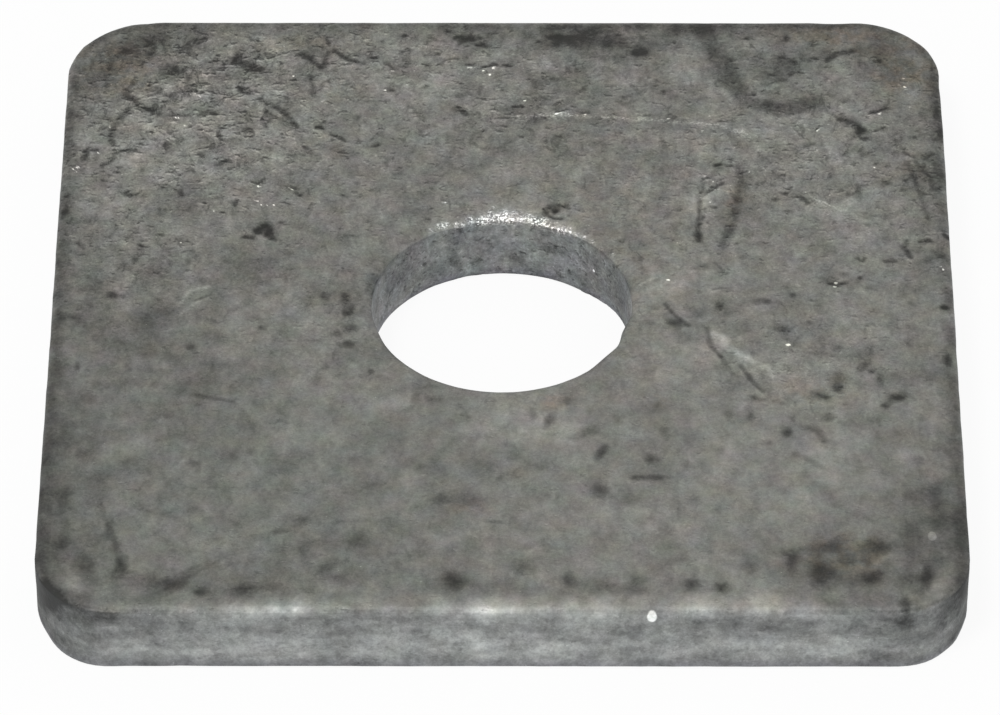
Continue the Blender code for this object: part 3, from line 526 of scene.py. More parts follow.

# Painted highlights on the lip of the hole, sparkling on its crumbs of zinc: place, half sizes and strength
LIP_HIGHLIGHTS = (
    (-1.6, 10.9, 0.9, 0.7, 1), (-1.1, 11.7, 0.4, 0.7, 0.9), (-0.5, 11.2, 1.0, 0.8, 0.75),
    (0.1, 11.7, 0.5, 0.8, 0.75), (0.4, 11.0, 0.6, 0.7, 0.75), (1.0, 11.7, 0.5, 0.5, 0.7),
    (0.9, 10.8, 0.3, 0.5, 0.8), (2.1, 11.3, 0.5, 0.5, 0.8), (2.6, 10.8, 0.8, 0.7, 1),
    (3.2, 10.7, 0.8, 0.7, 1), (3.7, 10.3, 0.4, 0.3, 0.9), (4.2, 10.0, 0.4, 0.3, 0.8),
    (4.7, 9.7, 0.4, 0.5, 0.8), (5.1, 9.6, 0.3, 0.7, 0.7), (5.6, 9.6, 0.3, 0.7, 0.7),
    (6.2, 9.1, 0.3, 0.3, 0.5), (6.8, 8.7, 0.3, 0.3, 0.5), (7.5, 8.1, 0.3, 0.3, 0.5),
    (-5.2, 10.1, 0.8, 0.5, 0.7), (-4.7, 10.3, 0.4, 0.3, 0.6), (-3.9, 10.3, 0.5, 0.5, 0.7),
    (-3.4, 10.4, 0.3, 0.3, 0.7), (-2.8, 10.9, 0.5, 0.7, 0.8), (-2.7, 10.3, 0.3, 0.3, 0.8),
    (-2.1, 10.8, 0.4, 0.5, 0.9), (-4.9, 13.0, 0.4, 0.2, 0.8), (-6.1, 9.5, 0.5, 0.3, 0.4),
    (7.1, 10.0, 0.3, 0.2, 0.4), (-0.8, 12.4, 0.3, 0.3, 0.5), (1.6, 11.1, 0.5, 0.6, 0.7),
    (1.5, 11.8, 0.2, 0.3, 0.5), (8.2, 7.3, 0.3, 0.3, 0.3), (9.2, 6.5, 0.3, 0.3, 0.3),
)


# Millimetres between the places that stand for a line
LINE_SPACING = 0.3


def places_along(points):
    """Evenly spaced places along a line of straight stretches."""
    places = []
    for (ax, ay), (bx, by) in zip(points, points[1:]):
        steps = max(1, round(math.hypot(bx - ax, by - ay) / LINE_SPACING))
        places += [(ax + (bx - ax) * i / steps, ay + (by - ay) * i / steps) for i in range(steps + 1)]
    return places


def flat_tree(verts):
    """Finds points by their place on the face alone."""
    tree = kdtree.KDTree(len(verts))
    for index, vert in enumerate(verts):
        tree.insert((vert.co.x, vert.co.y, 0), index)
    tree.balance()
    return tree


# The upper face is meshed finer round the marks, a margin past each. Spots that are
# COARSE_SPOT wide or more need no finer mesh.
washer.normal_update()
FINE_CUTS = 2
FINE_MARGIN = 0.35
COARSE_SPOT = 0.8
FINE_DEPTH = 0.3 * MM
fine_places = [(x, y, 1.6 * width) for width, _, _, line in FOLDS for x, y in places_along(line)]
fine_places += [(x, y, 0.8 * size * stretch) for x, y, size, stretch, _, _, _ in PITS]
fine_places += [(x, y, 1.5 * size) for x, y, size, _ in PAINTED_GLINTS]
fine_places += [(x, y, size) for x, y, size, _, _ in LIP_HIGHLIGHTS]
fine_places += [(x, y, 0.7 * max(w, h)) for x, y, w, h, _, _ in SPOTS if min(w, h) < COARSE_SPOT]
for width, _, line in STREAKS + STROKES + PALE_LINES:
    fine_places += [(x, y, 0.9 * width) for x, y in places_along(line)]
face_verts = [v for v in washer.verts if v.co.z > THICKNESS - FINE_DEPTH]
face_tree = flat_tree(face_verts)
fine_verts = set()
for x, y, reach in fine_places:
    for _, index, _ in face_tree.find_range((x * MM, y * MM, 0), (reach + FINE_MARGIN) * MM):
        fine_verts.add(face_verts[index])
fine_edges = [e for e in washer.edges if e.verts[0] in fine_verts and e.verts[1] in fine_verts]
bmesh.ops.subdivide_edges(washer, edges=fine_edges, cuts=FINE_CUTS, use_grid_fill=True)
washer.normal_update()

# Masks that the finish reads, each a value at every point of the surface
MASKS = "tone soil pit brown bright glint crumbs streak wall bore rough rub".split()
mask = {name: washer.verts.layers.float.new(name) for name in MASKS}


def swell(spot, size):
    """Soft random waves of a given size, from about -1 to 1."""
    return noise.noise(spot / size)


def zinc_relief(spot, wall):
    """How far the zinc stands out of the plate: slow waves, orange peel, and lumps on the walls."""
    waves = 0.02 * swell(spot, 7 * MM) + 0.014 * swell(spot, 2.6 * MM)
    peel = 0.01 * swell(spot, 1.3 * MM)
    lumps = 0.03 * swell(spot, 2.2 * MM) + 0.02 * swell(spot, 0.9 * MM)
    return (waves + peel + wall * lumps) * MM


# The skin is let down by the depth of its relief, so that it stays inside the plate
RELIEF_DEPTH = 0.05 * MM
BORE_ROUGHNESS, WALL_ROUGHNESS = 0.8, 0.2

# Points within these depths of a face belong to it
TOP_DEPTH, UNDER_DEPTH = 0.5 * MM, 0.4 * MM
for vert in washer.verts:
    wall = 1 - abs(vert.normal.z)
    inner = math.hypot(vert.co.x, vert.co.y) < ROUND_ZONE
    vert[mask["bore" if inner else "wall"]] = wall
    vert[mask["rough"]] = BORE_ROUGHNESS if inner else WALL_ROUGHNESS
    settle = 0 if inner and wall > 0.5 else RELIEF_DEPTH
    vert.co += vert.normal * (zinc_relief(vert.co, wall) - settle)
washer.normal_update()

top_verts = [v for v in washer.verts if v.co.z > THICKNESS - TOP_DEPTH]
under_verts = [v for v in washer.verts if v.co.z < UNDER_DEPTH]
top_tree = flat_tree(top_verts)
under_tree = flat_tree(under_verts)


def near(x, y, reach, verts, tree):
    """The points of a face round a place, with how far each lies from it along x and y."""
    found = tree.find_range((x * MM, y * MM, 0), reach * MM)
    return [(verts[i], place.x / MM - x, place.y / MM - y) for place, i, _ in found]


def patch(name, x, y, across, along, amount, turn=0, depth=0):
    """Adds a soft ragged oval to one mask of the upper face, and may press it in."""
    cosine, sine = math.cos(math.radians(turn)), math.sin(math.radians(turn))
    for vert, dx, dy in near(x, y, 1.4 * max(across, along), top_verts, top_tree):
        u = (dx * cosine + dy * sine) / across
        v = (dy * cosine - dx * sine) / along
        inside = bump_at(min(1, math.hypot(u, v) * (1 + 0.35 * swell(vert.co, 1.1 * MM))))
        vert[mask[name]] += amount * inside
        vert.co.z -= depth * MM * inside


def dent(x, y, size, stretch, turn, depth, darkness, side="top"):
    """Presses one small ragged pit into a face."""
    verts, tree, up = (top_verts, top_tree, 1) if side == "top" else (under_verts, under_tree, -1)
    cosine, sine = math.cos(math.radians(turn)), math.sin(math.radians(turn))
    for vert, dx, dy in near(x, y, size * stretch * 1.3, verts, tree):
        u = (dx * cosine + dy * sine) / (size * stretch)
        v = (dy * cosine - dx * sine) / size
        ragged = 1 + 0.6 * swell(vert.co, 0.5 * MM)
        deep = bump_at(min(1, math.hypot(u, v) * ragged))
        vert.co.z -= up * depth * MM * deep
        vert[mask["pit"]] = max(vert[mask["pit"]], darkness * deep)


def to_line(px, py, start, end):
    """How far a place lies from a straight stretch, and on which side of it."""
    ax, ay = start
    lx, ly = end[0] - ax, end[1] - ay
    share = max(0, min(1, ((px - ax) * lx + (py - ay) * ly) / (lx * lx + ly * ly)))
    dx, dy = px - ax - share * lx, py - ay - share * ly
    side = 1 if lx * dy - ly * dx > 0 else -1
    return math.hypot(dx, dy), side


def beside(points, reach):
    """The points of the upper face near a line, each with its place in millimetres."""
    middle = Vector((sum(p[0] for p in points), sum(p[1] for p in points))) / len(points)
    far = max((Vector(p) - middle).length for p in points) + reach
    found = near(middle.x, middle.y, far, top_verts, top_tree)
    return [(vert, middle.x + dx, middle.y + dy) for vert, dx, dy in found]


def line_distance(px, py, points):
    """How far a place lies from a line of straight stretches, and on which side of it."""
    return min(to_line(px, py, a, b) for a, b in zip(points, points[1:]))


def score(points, width, depth, lip, amounts):
    """Draws a groove or a ridge along a line on the upper face, and adds to masks along it."""
    for vert, px, py in beside(points, 3 * width):
        off, side = line_distance(px, py, points)
        off *= 1 + 0.35 * swell(vert.co, 1.3 * MM)
        inside = bump_at(min(1, off / width))
        raised = bump_at(min(1, abs(off - 1.5 * width) / width)) if side > 0 else 0
        vert.co.z += MM * (lip * raised - depth * inside)
        for name, amount in amounts.items():
            vert[mask[name]] += amount * inside


def fold(points, width, darkness, shine):
    """A wrinkle in the zinc: a dark groove with a raised lip on its front side, on which a highlight is
    painted.
    """
    for vert, px, py in beside(points, 3 * width):
        ragged = 1 + 0.7 * swell(vert.co, 0.6 * MM) + 0.3 * swell(vert.co, 0.25 * MM)
        groove = bump_at(min(1, line_distance(px, py, points)[0] * ragged / width))
        lip = bump_at(min(1, line_distance(px, py + 1.1 * width, points)[0] * ragged / width))
        vert.co.z += MM * (0.045 * lip - 0.06 * groove)
        vert[mask["pit"]] = max(vert[mask["pit"]], darkness * groove)
        vert[mask["glint"]] += 0.8 * shine * lip * (0.35 + 0.9 * max(0, swell(vert.co, 0.35 * MM)))


# Paler and darker areas of the zinc: place, half sizes, and how much lighter or darker
TONES = (
    (-37.5, -22, 4.5, 20, -0.24), (-37.5, 8, 3.5, 24, -0.14), (-32, 37, 8, 3, -0.12),
    (20, 37.5, 22, 3, -0.16), (29, 37, 9, 3, -0.1), (36.5, 22, 4.5, 18, -0.09), (37, -28, 4.5, 14, -0.16),
    (-23, -34.5, 10, 3.2, -0.14), (5, -35, 14, 2.6, -0.13), (31, -34.5, 5, 3, -0.12),
    (22, -20, 12, 9, 0.05), (14, -25, 9, 5, 0.07), (2, -15.5, 7, 4, 0.12), (15, 5, 4, 4, 0.07),
    (17, -6, 8, 6, 0.06), (-29, -7, 9, 9, -0.08), (-20, 6, 5, 4.5, -0.05), (-14, 0, 4, 4.5, -0.06),
    (-7, 29, 6, 6, 0.07), (7, 28, 5, 4, -0.05), (23, 29, 9, 6, -0.03), (28, 13, 6, 5, 0.05),
    (-28, 21, 7, 6, 0.05), (-32, 33, 7, 6, -0.06), (-33.2, 33.2, 5.0, 5.0, -0.18),
    (-29.4, 35.1, 5.9, 3.5, -0.13), (-15.9, 34.9, 5.6, 3.1, -0.12), (-2.0, 35.2, 4.3, 2.7, -0.18),
    (1.9, 34.2, 3.6, 2.7, -0.13), (4.9, 35.2, 3.6, 3.1, -0.24), (8.8, 34.6, 4.9, 3.5, -0.22),
    (12.3, 34.1, 3.6, 3.5, -0.15), (18.8, 33.5, 3.6, 4.9, -0.11), (25.7, 33.8, 5.0, 5.0, -0.14),
    (29.6, 34.1, 4.9, 4.2, -0.16), (33.0, 31.9, 3.6, 6.2, -0.14), (-5.5, 36.0, 3.6, 1.5, -0.12),
    (16.2, 36.3, 4.9, 1.5, -0.14), (-34.8, 29.4, 4.1, 5.7, -0.12), (-31.1, 22.6, 3.1, 3.8, 0.12),
    (23.7, 22.4, 5.0, 3.1, 0.11), (27.0, 18.7, 6.0, 2.9, 0.09), (-33.5, -4.7, 3.9, 27.0, -0.08),
    (-28.6, 0.4, 4.2, 18.1, -0.07), (-10.4, 2.7, 1.4, 4.3, -0.1), (13.2, 3.0, 3.5, 4.3, 0.09),
    (36.5, -10.3, 1.7, 10.5, -0.07), (-0.2, -14.0, 6.9, 4.2, 0.07), (16.3, -8.4, 5.7, 7.0, 0.06),
    (27.5, -19.5, 4.1, 6.2, 0.09), (34.4, -28.5, 3.4, 10.1, -0.13), (27.0, -32.1, 5.2, 5.0, -0.18),
    (19.1, -34.1, 4.1, 1.7, 0.1), (3.1, -34.4, 4.1, 1.5, 0.09), (-33.8, -31.6, 3.8, 5.6, -0.13),
    (-24.2, -9.7, 2.9, 4.2, -0.1), (-34.4, -36.3, 4.1, 2.2, -0.24), (-34.7, 28.7, 2.4, 4.2, -0.12),
    (-27.6, 22.6, 2.6, 2.6, 0.1), (-27.3, 12.6, 3.6, 4.1, -0.11), (-22.0, 2.9, 4.2, 7.2, -0.09),
    (-33.7, -6.6, 2.3, 4.2, 0.1), (-6.1, 10.1, 2.8, 2.2, 0.1), (-13.1, -1.2, 2.1, 2.1, -0.1),
    (-16.9, 2.7, 2.1, 2.5, -0.07), (10.0, 2.7, 1.6, 2.5, -0.12), (29.8, -0.8, 2.1, 2.5, -0.12),
    (17.1, 12.7, 2.8, 4.4, 0.12), (20.2, 18.6, 2.4, 2.6, 0.11), (17.4, 30.5, 1.9, 2.3, -0.1),
    (-7.6, -13.7, 3.9, 3.8, 0.1), (9.8, -15.9, 1.8, 2.4, 0.09), (-25.6, -12.8, 5.1, 3.8, -0.08),
    (-33.3, -24.4, 2.9, 13.6, -0.08), (-21.2, -23.8, 17.0, 11.9, -0.045), (-25.8, -30.6, 2.5, 2.3, -0.08),
    (-28.9, -34.2, 2.9, 2.0, -0.12), (-3.3, -30.4, 2.5, 2.0, -0.1), (6.3, -34.4, 2.2, 1.5, 0.1),
    (29.0, -30.3, 2.5, 2.7, -0.1), (32.5, -28.5, 2.9, 8.4, -0.1), (24.2, -23.4, 3.0, 2.0, 0.09),
    (-16.3, -27.0, 2.3, 2.0, -0.05), (-28.0, -36.7, 4.5, 2.0, -0.14), (19.6, -35.9, 4.9, 1.5, 0.14),
    (9.5, -35.9, 4.9, 1.5, 0.12), (28.6, -36.2, 4.5, 1.6, -0.06), (4.9, 30.1, 6.0, 5.8, -0.07),
    (8.3, 23.3, 2.6, 3.0, -0.09), (37.7, 30.8, 1.5, 4.6, -0.09), (-33.8, 6.8, 2.6, 3.3, -0.09),
    (-10.2, 2.7, 1.6, 2.5, -0.09), (9.8, 2.7, 1.4, 2.2, -0.08), (-20.6, -0.9, 2.8, 2.5, -0.08),
    (-26.1, 26.6, 3.1, 2.7, 0.07), (20.6, 18.6, 2.9, 2.2, 0.06), (16.7, 14.7, 1.7, 3.7, 0.08),
    (30.8, 8.8, 2.1, 3.7, 0.06), (6.4, -12.4, 1.8, 2.1, 0.07), (6.3, -23.2, 2.0, 2.4, 0.06),
    (15.1, -30.6, 6.3, 3.0, 0.07), (9.5, -33.9, 1.8, 1.5, 0.07), (35.3, -34.1, 1.1, 1.6, 0.06),
    (-17.0, -31.0, 16.9, 4.0, -0.045), (30.4, -30.3, 2.9, 3.0, -0.06), (-3.3, -33.9, 1.8, 1.5, -0.08),
    (-28.9, -33.9, 2.0, 1.6, -0.07), (6.3, -36.4, 4.9, 1.6, 0.1), (15.9, -36.3, 4.9, 1.6, 0.12),
    (-1.7, -36.2, 4.5, 1.5, 0.06), (-2.0, 36.4, 2.2, 1.0, -0.2), (1.4, 36.3, 2.2, 1.2, -0.13),
    (4.7, 36.5, 2.4, 1.0, -0.26), (8.4, 36.6, 2.4, 1.0, -0.26), (11.9, 36.4, 2.2, 1.0, -0.2),
    (15.3, 36.4, 2.2, 1.0, -0.08), (-19.4, 36.0, 2.2, 1.6, -0.13), (-15.9, 36.4, 2.2, 1.0, -0.12),
    (-33.0, 33.5, 1.9, 2.3, -0.15), (-29.8, 34.7, 1.9, 1.4, -0.09), (-5.5, 36.4, 1.9, 1.0, -0.07),
    (8.4, 32.4, 3.6, 1.0, -0.08), (11.9, 35.3, 1.9, 1.0, 0.12), (-37.1, 23.9, 0.6, 5.3, -0.13),
    (-36.6, 13.3, 1.1, 4.8, -0.1), (-37.0, -24.4, 0.6, 5.1, 0.13), (-35.7, -31.6, 0.9, 2.7, -0.12),
    (36.6, 24.0, 1.2, 4.5, -0.08), (-31.1, 0.4, 7.0, 10.8, -0.03), (4.9, 24.0, 10.8, 9.5, -0.015),
    (-28.1, 34.8, 2.7, 2.7, -0.08), (32.7, 34.6, 4.1, 2.7, -0.08), (-34.8, 30.7, 2.7, 2.7, -0.08),
    (34.2, 30.5, 2.7, 2.7, -0.07), (-17.5, 26.7, 2.6, 2.7, -0.07), (6.6, 20.6, 2.4, 4.9, -0.07),
    (30.5, 22.7, 2.4, 2.3, -0.06), (-3.7, 18.6, 2.6, 2.6, -0.09), (-10.4, 14.6, 2.6, 2.6, -0.07),
    (-0.2, 14.7, 2.6, 2.2, -0.06), (33.7, 14.7, 2.6, 2.6, -0.07), (-27.3, 13.3, 5.5, 4.1, -0.055),
    (-11.1, 2.9, 1.4, 2.5, -0.06), (-23.5, -0.9, 2.8, 2.5, -0.07), (16.4, -4.7, 2.3, 2.1, -0.06),
    (19.6, -8.2, 2.1, 2.1, 0.07), (9.7, -12.2, 2.1, 2.4, 0.06), (-0.2, -19.5, 2.7, 2.4, 0.06),
    (-6.6, -23.2, 2.3, 2.4, -0.055), (9.6, -26.8, 2.5, 2.3, 0.06), (-0.1, -33.9, 2.0, 1.6, -0.07),
)
for x, y, across, along, amount in TONES:
    patch("tone", x, y, across, along, amount)

# Drip stain at the back right
DRIP = [(17.3, 36.6), (18.1, 33.8), (18.9, 31.3), (19.6, 28.9)]
DRIP += [(20.9, 26.8), (22.3, 25.8), (23.7, 25.1), (26.6, 26.6)]
score(DRIP, 1.6, 0.02, 0, {"soil": 1.15})

# Stains round the drip, along the back edge and on the rest of the face: place, half
# sizes and strength
STAINS = (
    (22.8, 31, 4.2, 4.2, 0.35), (26, 29.5, 3, 2.4, 0.35), (23.4, 30.0, 2.9, 1.7, 0.5),
    (21.5, 33.3, 2.0, 1.5, 0.5), (25.7, 32.2, 2.4, 2.2, 0.4), (20.0, 32.2, 2.2, 2.6, 0.25),
    (7.5, 34.9, 5.2, 2.6, 1.0), (11.8, 33.0, 1.7, 1.4, 1.0), (-4.5, 35.5, 3, 1.8, 0.6),
    (-20.3, 9.3, 1.8, 1.3, 0.9), (4.2, 12.4, 1.3, 0.9, 1.0), (24, 14, 1.6, 1.5, 0.6), (-17, 33, 5, 2, 0.3),
    (-30, 30, 4, 5, 0.4), (-31.5, 33.5, 5, 3, 0.4), (-26.5, 14.2, 1.2, 0.8, 0.6),
)
for x, y, across, along, amount in STAINS:
    patch("soil", x, y, across, along, amount)

# Brown tints where iron shows through, and greenish ones (less than nothing)
TINTS = (
    (27.5, -31, 5.5, 3.5, 0.9), (-2.3, -25.4, 4, 2.4, 0.5), (4, -12.3, 2.2, 1.6, 0.6),
    (12.4, -12.3, 1.8, 1.4, 0.6), (26, -11, 6, 3, 0.5), (-15.5, 20.5, 3, 2, 0.35), (34.5, 31, 4.5, 6, 0.8),
    (29, 35.5, 8, 3, 0.8), (19.5, 13, 1.6, 4, 0.6), (34.5, 17, 2.5, 4, 0.4), (-33, 31, 6, 6, 0.8),
    (-17, 34.5, 9, 3, 0.4), (-14, 28, 4, 4, 0.4), (8, 4, 14, 26, 0.25), (-20, -24, 26, 22, -0.35),
    (23, 31, 6, 5, -0.4),
)
for x, y, across, along, amount in TINTS:
    patch("brown", x, y, across, along, amount)

# Fine brushed lines in front of the long streak behind the hole
for row in range(6):
    start, end = (2 + row, 23.2 - 0.75 * row), (14 + row, 22.6 - 0.6 * row)
    score([start, end], 0.25, 0.012, 0.01, {"tone": 0.04})

# Gouge right of the hole, with a furrow beside it, and the pale ridge at the back, where painted sparkles are
# crowded
GOUGE = [(20.0, 18.0), (20.1, 15.7), (19.8, 13.1), (19.1, 10.1), (18.4, 7.6)]
# The gouge and the furrow are painted darker inside
score(GOUGE, 0.9, 0.13, 0.05, {"soil": 0.7, "tone": -0.14})
FURROW = [(18.1, 17.2), (16.9, 16.1), (16.4, 13.9), (16.6, 11.5), (16.4, 8.7)]
score(FURROW, 0.35, 0.05, 0.03, {"tone": -0.14})
score([(-22.9, 28.8), (-17.3, 23.6)], 0.7, -0.03, 0, {"tone": 0.1, "bright": 0.25})
patch("bright", -19.6, 26.4, 1.2, 0.8, 0.4)
patch("bright", -24.4, 27.6, 1.2, 0.8, 0.4)

for x, y, size, stretch, turn, depth, darkness in PITS:
    dent(x, y, size, stretch, turn, depth, darkness)
for width, darkness, shine, line in FOLDS:
    fold(line, width, darkness, shine)
for width, amount, line in STREAKS:
    score(line, width, -0.03, 0, {"streak": amount})
for x, y, size, amount in PAINTED_GLINTS:
    patch("glint", x, y, 1.1 * size, 0.85 * size, amount * amount)
for x, y, across, along, turn, darkness in SPOTS:
    patch("tone", x, y, across, along, -0.5 * darkness, turn, 0.025 * darkness)
for width, darkness, line in STROKES:
    score(line, width, 0.02, 0, {"tone": -0.42 * darkness})
for width, amount, line in PALE_LINES:
    score(line, width, -0.03, 0, {"tone": 0.4 * amount})
for x, y, across, along, amount in PALE_SPOTS:
    patch("tone", x, y, across, along, 0.35 * amount)

# Rubbed rims, which are beaded with small lumps and painted with a sheen, brightest at the back of the hole
# where
# the rim faces the lamp: direction, half width in degrees, strength
LIP_WEAR_AND_SHEEN = ((86, 34, 0.55), (60, 14, 0.25), (110, 12, 0.25), (180, 60, 0.1), (20, 40, 0.15))
LIP_MIDDLE, LIP_REACH = 0.6 * MM, 1.3 * MM
for vert in top_verts:
    out = math.hypot(vert.co.x, vert.co.y) - HOLE_RADIUS
    lip = bump_at(min(1, abs(out - LIP_MIDDLE) / LIP_REACH))
    turn = math.degrees(math.atan2(vert.co.y, vert.co.x))
    vert[mask["rub"]] = lip * sum(a * bump_at(min(1, abs(turn - at) / width)) for at, width, a in LIP_WEAR_AND_SHEEN)
for x, y, across, along, strength in LIP_HIGHLIGHTS:
    patch("rub", x, y, across, along, 0.3 * strength)
    patch("crumbs", x, y, across, along, strength)
for vert in top_verts:
    beads = 0.03 * swell(vert.co, 0.8 * MM) + 0.03 * swell(vert.co, 0.4 * MM)
    vert.co += vert.normal * MM * beads * min(1, vert[mask["rub"]])


def edge_place(place):
    """How far inside the outline a point lies, and how squarely the outline faces the front there."""
    corner = BACK_CORNER_RADIUS if place.y > 0 else FRONT_CORNER_RADIUS
    over_x = max(0, abs(place.x) - HALF_SIDE + corner)
    over_y = max(0, abs(place.y) - HALF_SIDE + corner)
    over = math.hypot(over_x, over_y)
    return corner - over, over_y / over if place.y < 0 and over > 0 else 0


def ramp(value, low, high):
    """0 up to the low value, 1 from the high one, smooth in between."""
    share = max(0, min(1, (value - low) / (high - low)))
    return share * share * (3 - 2 * share)


# The rim is painted pale along the front, a soft painted highlight, with painted shade along the arris that
# dims its sharp highlight, and it is dark along the other sides. The wall is darkest below its upper rim, and
# painted shade darkens it round the front corners.
EDGE_ZONE = 4 * MM
EDGE_FOOT = 0.3 * MM
for vert in washer.verts:
    inset, front = edge_place(vert.co)
    if inset > EDGE_ZONE or vert.co.z < EDGE_FOOT:
        continue
    # Millimetres along the skin from the arris of the upper rim: inwards, or less than
    # nothing down the wall
    run = (inset - THICKNESS + vert.co.z) / MM
    x, y, level = vert.co.x / MM, vert.co.y / MM, vert.co.z / MM
    at_front = ramp(front, 0.9, 1) * (1 - ramp(-x, 27, 31.5)) * (1 - ramp(x, 32, 36))
    rim_highlight_and_soil = 0
    for at, width, lies_in, high, amount in RIM_HIGHLIGHTS_AND_SOIL:
        rim_highlight_and_soil += amount * bump_at(min(1, math.hypot((x - at) / width, (run - lies_in) / high)))
    arris_shade = 0.2 * ramp(front, 0.5, 0.9) * bump_at(min(1, abs(run - 0.02) / 0.42))
    dark = 0.17 * (1 - ramp(front, 0.8, 1)) * bump_at(min(1, abs(run - 0.35) / 1.1))
    dark *= 1 + swell(vert.co, 2.5 * MM)
    bands = 0.03 * bump_at(min(1, abs(level - 2.5) / 1.4)) - 0.08 * bump_at(min(1, abs(level - 4.2) / 1.9))
    bands -= 0.04 * bump_at(min(1, abs(level - 0.9) / 0.9)) + 0.06 * bump_at(min(1, abs(level - 5.3) / 0.65))
    # Painted shade on the walls round the front corners, where they turn away from the front
    turned_shade = 0.16 * ramp(abs(x), 29, 33.5) + (0.26 + 0.14 * ramp(level, 3.5, 5.5)) * ramp(abs(x), 34, 37.4)
    upright = vert[mask["wall"]]
    shade = bands - turned_shade * ramp(-y, 26, 32)
    vert[mask["tone"]] += ramp(front, 0.3, 0.9) * rim_highlight_and_soil - arris_shade - dark + upright * shade
    # The lighter wall grey, which is painted light, is carried up over the front rim
    vert[mask["wall"]] = max(upright, 0.75 * at_front * (1 - ramp(run, -0.5, 1.1)))

# The blank was rough before it was dipped, most of all at the back left, and smoother
# to the front: place, half sizes and roughness
ROUGH_AREAS = (
    (-26, 24, 17, 16, 0.65), (-18, 33, 24, 8, 0.35), (24, 20, 14, 16, 0.22), (26, -8, 14, 10, 0.28),
    (-14, -2, 7, 8, 0.15), (2, 27, 13, 10, 0.22), (-31, 6, 8, 10, 0.35),
)
for vert in top_verts:
    vert[mask["rough"]] = 0.15 + 0.45 * max(0, min(1, (vert.co.y / MM + 14) / 30))
for x, y, across, along, amount in ROUGH_AREAS:
    patch("rough", x, y, across, along, amount)

# Small pits and bumps are crowded in the rough areas. Their places are drawn from a fixed seed.
random.seed(20)
SCATTERED_PITS = 1700
for count in range(SCATTERED_PITS):
    x, y = random.uniform(-37, 37), random.uniform(-37, 37)
    crowd = 0.16 + 0.2 * max(0, y / 37)
    crowd += max(a * bump_at(min(1, math.hypot((x - u) / p, (y - v) / q))) for u, v, p, q, a in ROUGH_AREAS)
    size = random.uniform(0.3, 0.5) + 0.4 * random.random() ** 3
    stretch, turn = random.uniform(1, 2.2), random.gauss(15, 40)
    depth, darkness = random.uniform(-0.04, 0.06), random.uniform(0.0, 0.5)
    chance = random.random()
    dent(x, -y, 1.6 * size, stretch, turn, abs(depth), darkness, "under")
    if chance < crowd:
        dent(x, y, size, stretch, turn, depth, darkness if depth > 0 else 0)

# How much a mark of full darkness darkens a wall
WALL_MARK_DEPTH = 0.32
wall_verts = [v for v in washer.verts if v[mask["wall"]] + v[mask["bore"]] > 0.2]
wall_tree = kdtree.KDTree(len(wall_verts))
for index, vert in enumerate(wall_verts):
    wall_tree.insert(vert.co, index)
wall_tree.balance()

# Marks on the front wall: place from left to right, level, half width, half height and
# darkness (less than nothing: pale)
FRONT_WALL = -37.6
FRONT_MARKS = (
    (15.4, 4.7, 1.3, 1.0, 0.5), (18.3, 4.7, 1.4, 1.1, 0.65), (21.5, 4.4, 1.9, 1.1, 0.65),
    (24.6, 4.7, 1.4, 0.8, 0.4), (28.6, 5.1, 1.7, 0.8, 0.4), (32.2, 5.0, 1.4, 1.1, 0.9),
    (-31.3, 5.4, 1.4, 1.0, 0.75), (-33.2, 5.1, 1.4, 1.3, 0.4), (-28.0, 4.7, 1.2, 1.0, 0.45),
    (-25.0, 4.7, 0.7, 1.1, 0.5), (-29.2, 4.0, 2.6, 0.8, 0.25), (-13.5, 4.7, 1.6, 1.0, 0.4),
    (-2.4, 4.7, 0.8, 0.8, 0.65), (15.7, 1.4, 2.2, 0.8, 0.35), (12.4, 2.6, 1.0, 0.6, 0.35),
    (30.0, 1.4, 2.2, 0.8, 0.5), (7.3, 1.5, 0.8, 1.0, 0.3), (-28.0, 2.6, 1.1, 0.8, 0.3),
    (-10.4, 3.1, 2.2, 1.0, -0.3), (-1.6, 2.4, 1.2, 0.8, -0.5), (4.2, 2.3, 2.2, 0.8, -0.3),
    (27.4, 1.9, 2.6, 0.8, -0.35), (-24.9, 6.1, 1.0, 0.6, -0.3), (-20.1, 3.0, 2.9, 1.0, -0.1),
    (-6.5, 4.4, 1.9, 0.8, -0.12), (9.5, 3.1, 2.4, 1.0, -0.1), (4.7, 4.4, 1.9, 0.8, 0.2),
    (-16.9, 4.3, 2.4, 0.8, 0.2), (-8.1, 1.9, 2.9, 0.8, 0.15), (-27.2, 4.9, 4.0, 1.2, 0.32),
    (6.3, 4.1, 4.5, 1.1, -0.3), (-2.5, 3.1, 3.5, 1.1, -0.35), (15.8, 3.9, 4.0, 1.0, 0.18),
    (-10.5, 5.1, 4.0, 0.9, 0.2), (-10.5, 3.9, 4.0, 0.9, -0.15), (-19.2, 3.6, 5.0, 0.7, 0.22),
    (-10.5, 1.8, 4.8, 1.0, -0.16), (-2.5, 3.1, 3.5, 0.7, -0.25),
)
